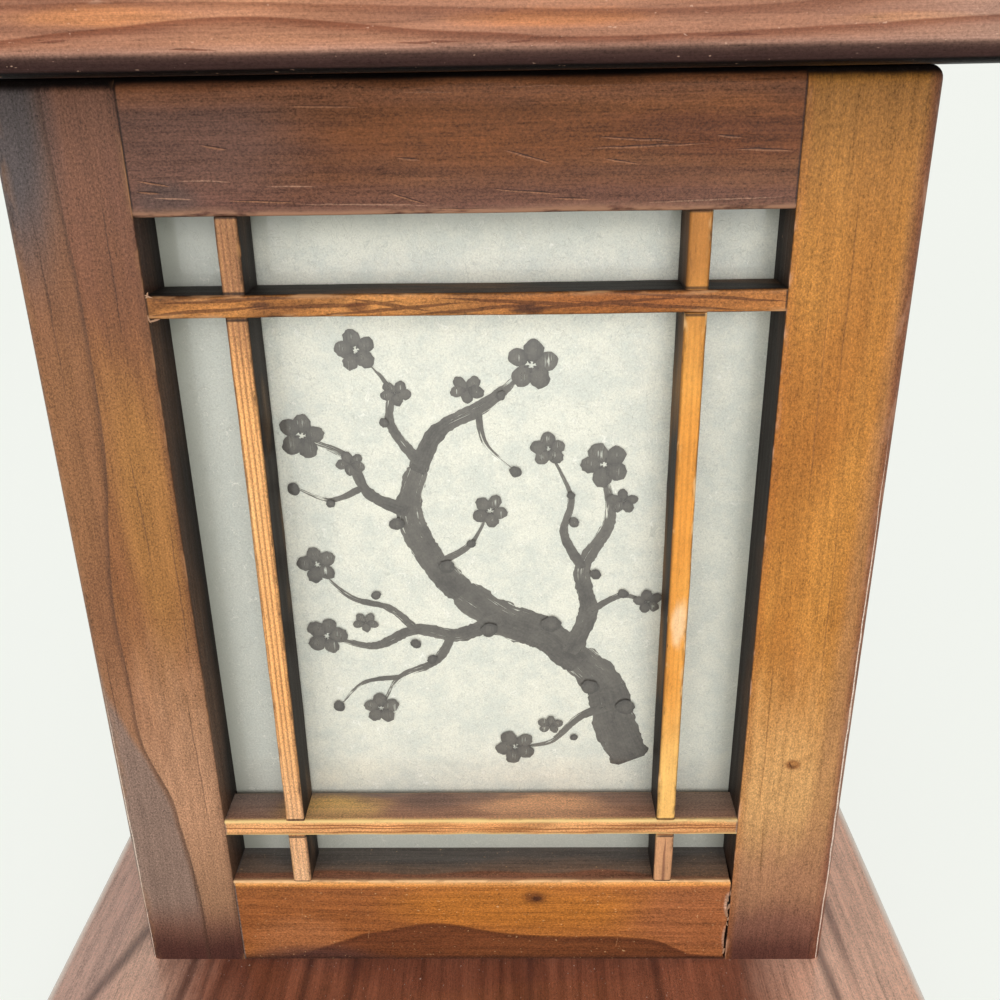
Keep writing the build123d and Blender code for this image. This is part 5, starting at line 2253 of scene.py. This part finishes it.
@dataclass
class Light:
    """The lamp holder and the bulb, turned about the lamp's own axis."""

    thread_pitch: float = 3.63 * MM
    thread_depth: float = 0.45 * MM
    thread_steps: int = 8
    play: float = 0.05 * MM
    holder_neck: float = 20.5 * MM
    holder_flange: float = 9.0 * MM
    holder_mouth: float = 16.0 * MM
    socket_wall: float = 0.45 * MM
    contact_hole: float = 5.5 * MM
    shell_neck: float = 14.5 * MM
    flare_steps: int = 16
    globe_steps: int = 24
    chip_count: int = 12
    chip_ring: float = 16.0 * MM
    chip_size: tuple[float, float, float] = (3.0 * MM, 2.8 * MM, 0.6 * MM)
    chip_bevel: float = 0.12 * MM

    def build(self) -> Iterator[Piece]:
        """Make and dress every piece.

        Yields:
            Each piece.
        """
        yield dress(self.holder(), PORCELAIN.material(), LAMP_BODY, "porcelain", "holder_body")
        yield dress(self.socket(), BRASS.material(), LAMP_BODY, "socket_brass", "socket_shell")
        yield dress(self.cap(), NICKEL.material(), BULB_BODY, "cap_nickel", "bulb_cap")
        yield dress(self.shell(), SHELL_PLASTIC.material(), BULB_BODY, "bulb_plastic", "bulb_shell")
        yield dress(self.globe(), OPAL.material(), BULB_BODY, "opal_globe", "bulb_globe")
        yield dress(self.chips(), PHOSPHOR.material(), BULB_BODY, "led_board")

    def holder(self) -> Piece:
        """The glazed holder with soft edges.

        Returns:
            Its object.
        """
        low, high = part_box("holder_body")
        shell_low, shell_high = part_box("socket_shell")
        outer, tall = high.x, high.z - low.z
        neck, flange, mouth = self.holder_neck, self.holder_flange, self.holder_mouth
        seat = shell_high.x + self.play
        profile = (
            [(0, 0), (outer - 0.6 * MM, 0), (outer, 0.6 * MM)]
            + arc_profile(outer - 2 * MM, flange - 2 * MM, 2 * MM, 0, 90)
            + arc_profile(neck + 3 * MM, flange + 3 * MM, 3 * MM, 270, 180)
            + arc_profile(neck - 1.6 * MM, tall - 1.6 * MM, 1.6 * MM, 0, 90)
            + arc_profile(mouth + 0.8 * MM, tall - 0.8 * MM, 0.8 * MM, 90, 180)
            + [(mouth, shell_high.z - low.z), (seat, shell_high.z - low.z)]
            + [(seat, shell_low.z - low.z), (0, shell_low.z - low.z)]
        )
        return turned_solid("holder_body_glaze", low.z, profile, 96)

    def socket(self) -> Piece:
        """The rolled-thread metal shell.

        Returns:
            Its object.
        """
        low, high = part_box("socket_shell")
        outer, wall, hole = high.x, self.socket_wall, self.contact_hole
        rings = self.thread(outer - self.thread_depth, 0.5 * MM, high.z - low.z)
        inside = [(r - wall, h) for r, h in reversed(rings)]
        foot = [(outer - 1.4 * MM, wall), (hole, wall)]
        profile = [(hole, 0), (outer - 1 * MM, 0), *rings, *inside, *foot]
        return turned_solid("socket_shell_brass", low.z, profile)

    def cap(self) -> Piece:
        """The bulb's threaded cap.

        Returns:
            Its object.
        """
        low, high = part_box("bulb_cap")
        tall = high.z - low.z
        radius = high.x - self.thread_depth
        profile = [(0, 0), (radius - 3 * MM, 0), *self.thread(radius, 3 * MM, tall - 3 * MM)]
        profile += [(high.x, tall - 2 * MM), (high.x, tall), (0, tall)]
        return turned_solid("bulb_cap_nickel", low.z, profile)

    def thread(self, radius: float, start: float, end: float) -> list[Pair]:
        """Rolled thread rings as a wave of radius over height.

        Args:
            radius: The mean radius.
            start: Where the wave starts.
            end: Where it ends.

        Returns:
            The profile's points.
        """
        count = max(2, round((end - start) / self.thread_pitch * self.thread_steps))
        points = []
        for step in range(count + 1):
            height = start + (end - start) * step / count
            wave = sin(tau * (height - start) / self.thread_pitch)
            points.append((radius + self.thread_depth * wave, height))
        return points

    def shell(self) -> Piece:
        """The white flared shell.

        Returns:
            Its object.
        """
        low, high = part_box("bulb_shell")
        neck, tall, steps = self.shell_neck, high.z - low.z, self.flare_steps
        flare = [
            (neck + (high.x - neck) * (1 - cos(pi * t / steps)) / 2, tall * t / steps)
            for t in range(steps + 1)
        ]
        return turned_solid("bulb_shell_moulding", low.z, [(0, 0), *flare, (0, tall)])

    def globe(self) -> Piece:
        """The frosted globe.

        Returns:
            Its object.
        """
        low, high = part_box("bulb_globe")
        radius = high.x
        centre = high.z - radius
        start = degrees(asin(max(-1, (low.z - centre) / radius)))
        bowl = arc_profile(0, 0, radius, start, 90, self.globe_steps)[:-1]
        profile = [(0, low.z - centre + 0.1 * MM), *bowl, (0, radius)]
        return turned_solid("bulb_globe_opal", centre, profile)

    def chips(self) -> Piece:
        """The ring of light chips on the board, under the globe.

        Returns:
            Their object.
        """
        _, board_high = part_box("led_board")
        height = board_high.z + self.chip_size[2] / 2
        size = Matrix.Diagonal((*self.chip_size, 1))
        mesh = bmesh.new()
        for index in range(self.chip_count):
            angle = tau * index / self.chip_count
            spot = Vector((self.chip_ring * cos(angle), self.chip_ring * sin(angle), height))
            place = Matrix.Translation(spot) @ Matrix.Rotation(angle, 4, "Z") @ size
            made = bmesh.ops.create_cube(mesh, size=1, matrix=place)
            edges = list({edge for vertex in made["verts"] for edge in vertex.link_edges})
            bmesh.ops.bevel(mesh, geom=edges, offset=self.chip_bevel, segments=2, affect="EDGES")
        return finished_mesh("led_chips", mesh, solid=False)


def arc_profile(
    u: float, v: float, radius: float, start: float, end: float, steps: int = 6
) -> list[Pair]:
    """Points of an arc in a turned profile.

    Args:
        u: Its centre's radius.
        v: Its centre's height.
        radius: Its radius.
        start: The angle where it starts, in degrees.
        end: The angle where it ends.
        steps: Its segments.

    Returns:
        Radius and height of each point.
    """
    angles = [radians(start + (end - start) * step / steps) for step in range(steps + 1)]
    return [(u + radius * cos(a), v + radius * sin(a)) for a in angles]


ROOF_BATTENS = ("front_roof_batten", "back_roof_batten")


@dataclass
class CarriedNodes:
    """The CAD nodes that keep their own shape, by finish."""

    groups: tuple[tuple[PlainFinish, tuple[str, ...]], ...] = (
        (BRASS, ("centre_contact",)),
        (NICKEL, ("bulb_tip",)),
        (BOARD_COAT, ("led_board",)),
        (DARK_BATTEN, tuple(f"{quarter.label}_panel_battens" for quarter in Quarter) + ROOF_BATTENS),
        (STEEL, ("post_screws", "holder_screws", "roof_batten_screws")),
        (RUBBER, ("cord_grommet",)),
    )

    def build(self) -> Iterator[Piece]:
        """Dress every one.

        Yields:
            Each piece.
        """
        for finish, nodes in self.groups:
            material = finish.material()
            for name in nodes:
                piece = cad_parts[name]
                if not piece.material_slots:
                    piece.data.materials.append(material)
                for place in piece.material_slots:
                    place.material = material
                yield piece


# --- studio


@dataclass
class Studio:
    """The camera, the pale floor and the soft light."""

    place: tuple[float, float, float] = (0.0141, -0.3904, 0.3124)
    pitch: float = 22.84
    yaw: float = -1.18
    roll: float = -0.95
    lens: float = 36.45
    sensor: float = 36.0
    floor_colour: Colour = (250, 253, 247)
    floor_glow: float = 0.8
    floor_front: float = -3.0
    floor_back: float = 1.2
    floor_side: float = 4.0
    sweep: float = 0.8
    sweep_steps: int = 16
    world_strength: float = 0.55
    aim: tuple[float, float, float] = (0.0, 0.0, 0.17)

    def build(self) -> None:
        """Set up everything round the lamp."""
        self.camera()
        self.floor()
        self.world()
        self.area("key", (0.28, -1.55, 0.56), 9.2)
        self.area("fill", (-0.8, -1.35, 0.5), 3.8)
        bpy.context.scene.view_settings.view_transform = "Standard"

    def camera(self) -> None:
        """The camera, at the angle at which the lamp is usually seen."""
        pitch, yaw, roll = (radians(v) for v in (self.pitch, self.yaw, self.roll))
        ahead = Vector((sin(yaw) * cos(pitch), cos(yaw) * cos(pitch), -sin(pitch)))
        level = Vector((cos(yaw), -sin(yaw), 0))
        up = level.cross(ahead)
        right = level * cos(roll) + up * sin(roll)
        up = -level * sin(roll) + up * cos(roll)
        data = bpy.data.cameras.new("camera")
        data.lens = self.lens
        data.sensor_width = self.sensor
        data.clip_start = 0.01
        camera = bpy.data.objects.new("camera", data)
        turn = Matrix((right, up, -ahead)).transposed().to_4x4()
        camera.matrix_world = Matrix.Translation(self.place) @ turn
        bpy.context.scene.collection.objects.link(camera)
        bpy.context.scene.camera = camera

    def floor(self) -> None:
        """A plain pale floor that sweeps up behind."""
        mesh = bmesh.new()
        bend = [pi / 2 * step / self.sweep_steps for step in range(1, self.sweep_steps + 1)]
        profile = [(self.floor_front, 0), (self.floor_back, 0)]
        profile += [(self.floor_back + self.sweep * sin(a), self.sweep * (1 - cos(a))) for a in bend]
        profile += [(self.floor_back + self.sweep, self.floor_side)]
        sides = (-self.floor_side, self.floor_side)
        rows = [[mesh.verts.new((x, y, z)) for x in sides] for y, z in profile]
        for low, high in zip(rows, rows[1:]):
            bridge(mesh, low, high, closed=False)
        floor = finished_mesh("floor", mesh, solid=False)
        paint = Paint(bpy.data.materials.new("floor"))
        colour = {"Color": linear(self.floor_colour)}
        seen = paint.wire("LightPath", output="Is Camera Ray") * self.floor_glow
        diffuse = paint.wire("BsdfDiffuse", None, colour)
        glow = paint.wire("Emission", None, colour)
        blend = paint.wire("MixShader", None, {0: seen, 1: diffuse, 2: glow})
        floor.data.materials.append(paint.closed(blend))

    def world(self) -> None:
        """White where seen or mirrored, softer as light."""
        world = bpy.data.worlds.new("studio")
        bpy.context.scene.world = world
        paint = Paint(world)
        rays = ("Is Camera Ray", "Is Glossy Ray", "Is Transmission Ray")
        seen = reduce(Wire.larger, (paint.wire("LightPath", output=ray) for ray in rays))
        soft = {"Color": (1, 1, 1, 1), "Strength": self.world_strength}
        white = {"Color": linear(self.floor_colour), "Strength": 1}
        light, backdrop = (paint.wire("Background", None, sockets) for sockets in (soft, white))
        blend = paint.wire("MixShader", None, {0: seen, 1: light, 2: backdrop})
        paint.closed(blend, "OutputWorld")

    def area(self, name: str, place: Sequence[float], power: float, size: float = 1) -> None:
        """A square soft light that points at the lamp.

        Args:
            name: Its name.
            place: Where it hangs.
            power: Its power in watts.
            size: Its side.
        """
        data = bpy.data.lights.new(name, "AREA")
        data.energy = power
        data.size = size
        light = bpy.data.objects.new(name, data)
        light.location = place
        light.rotation_euler = (Vector(self.aim) - Vector(place)).to_track_quat("-Z", "Y").to_euler()
        bpy.context.scene.collection.objects.link(light)


# --- main


def main() -> None:
    """Build the lamp's looks in order and report each piece."""
    logging.basicConfig(level=logging.INFO, format="%(name)s: %(message)s")
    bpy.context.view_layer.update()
    Studio().build()
    sizes = BodySizes.from_frame()
    makers = (
        *(kind(sizes) for kind in (Posts, Rails, Lattice, PaperPanels, InkDrawing, TornJoints)),
        Boards(),
        Light(),
        CarriedNodes(),
    )
    for maker in makers:
        for piece in maker.build():
            log.info("%s: %s", type(maker).__name__, piece.name)


if __name__ == "__main__":
    main()
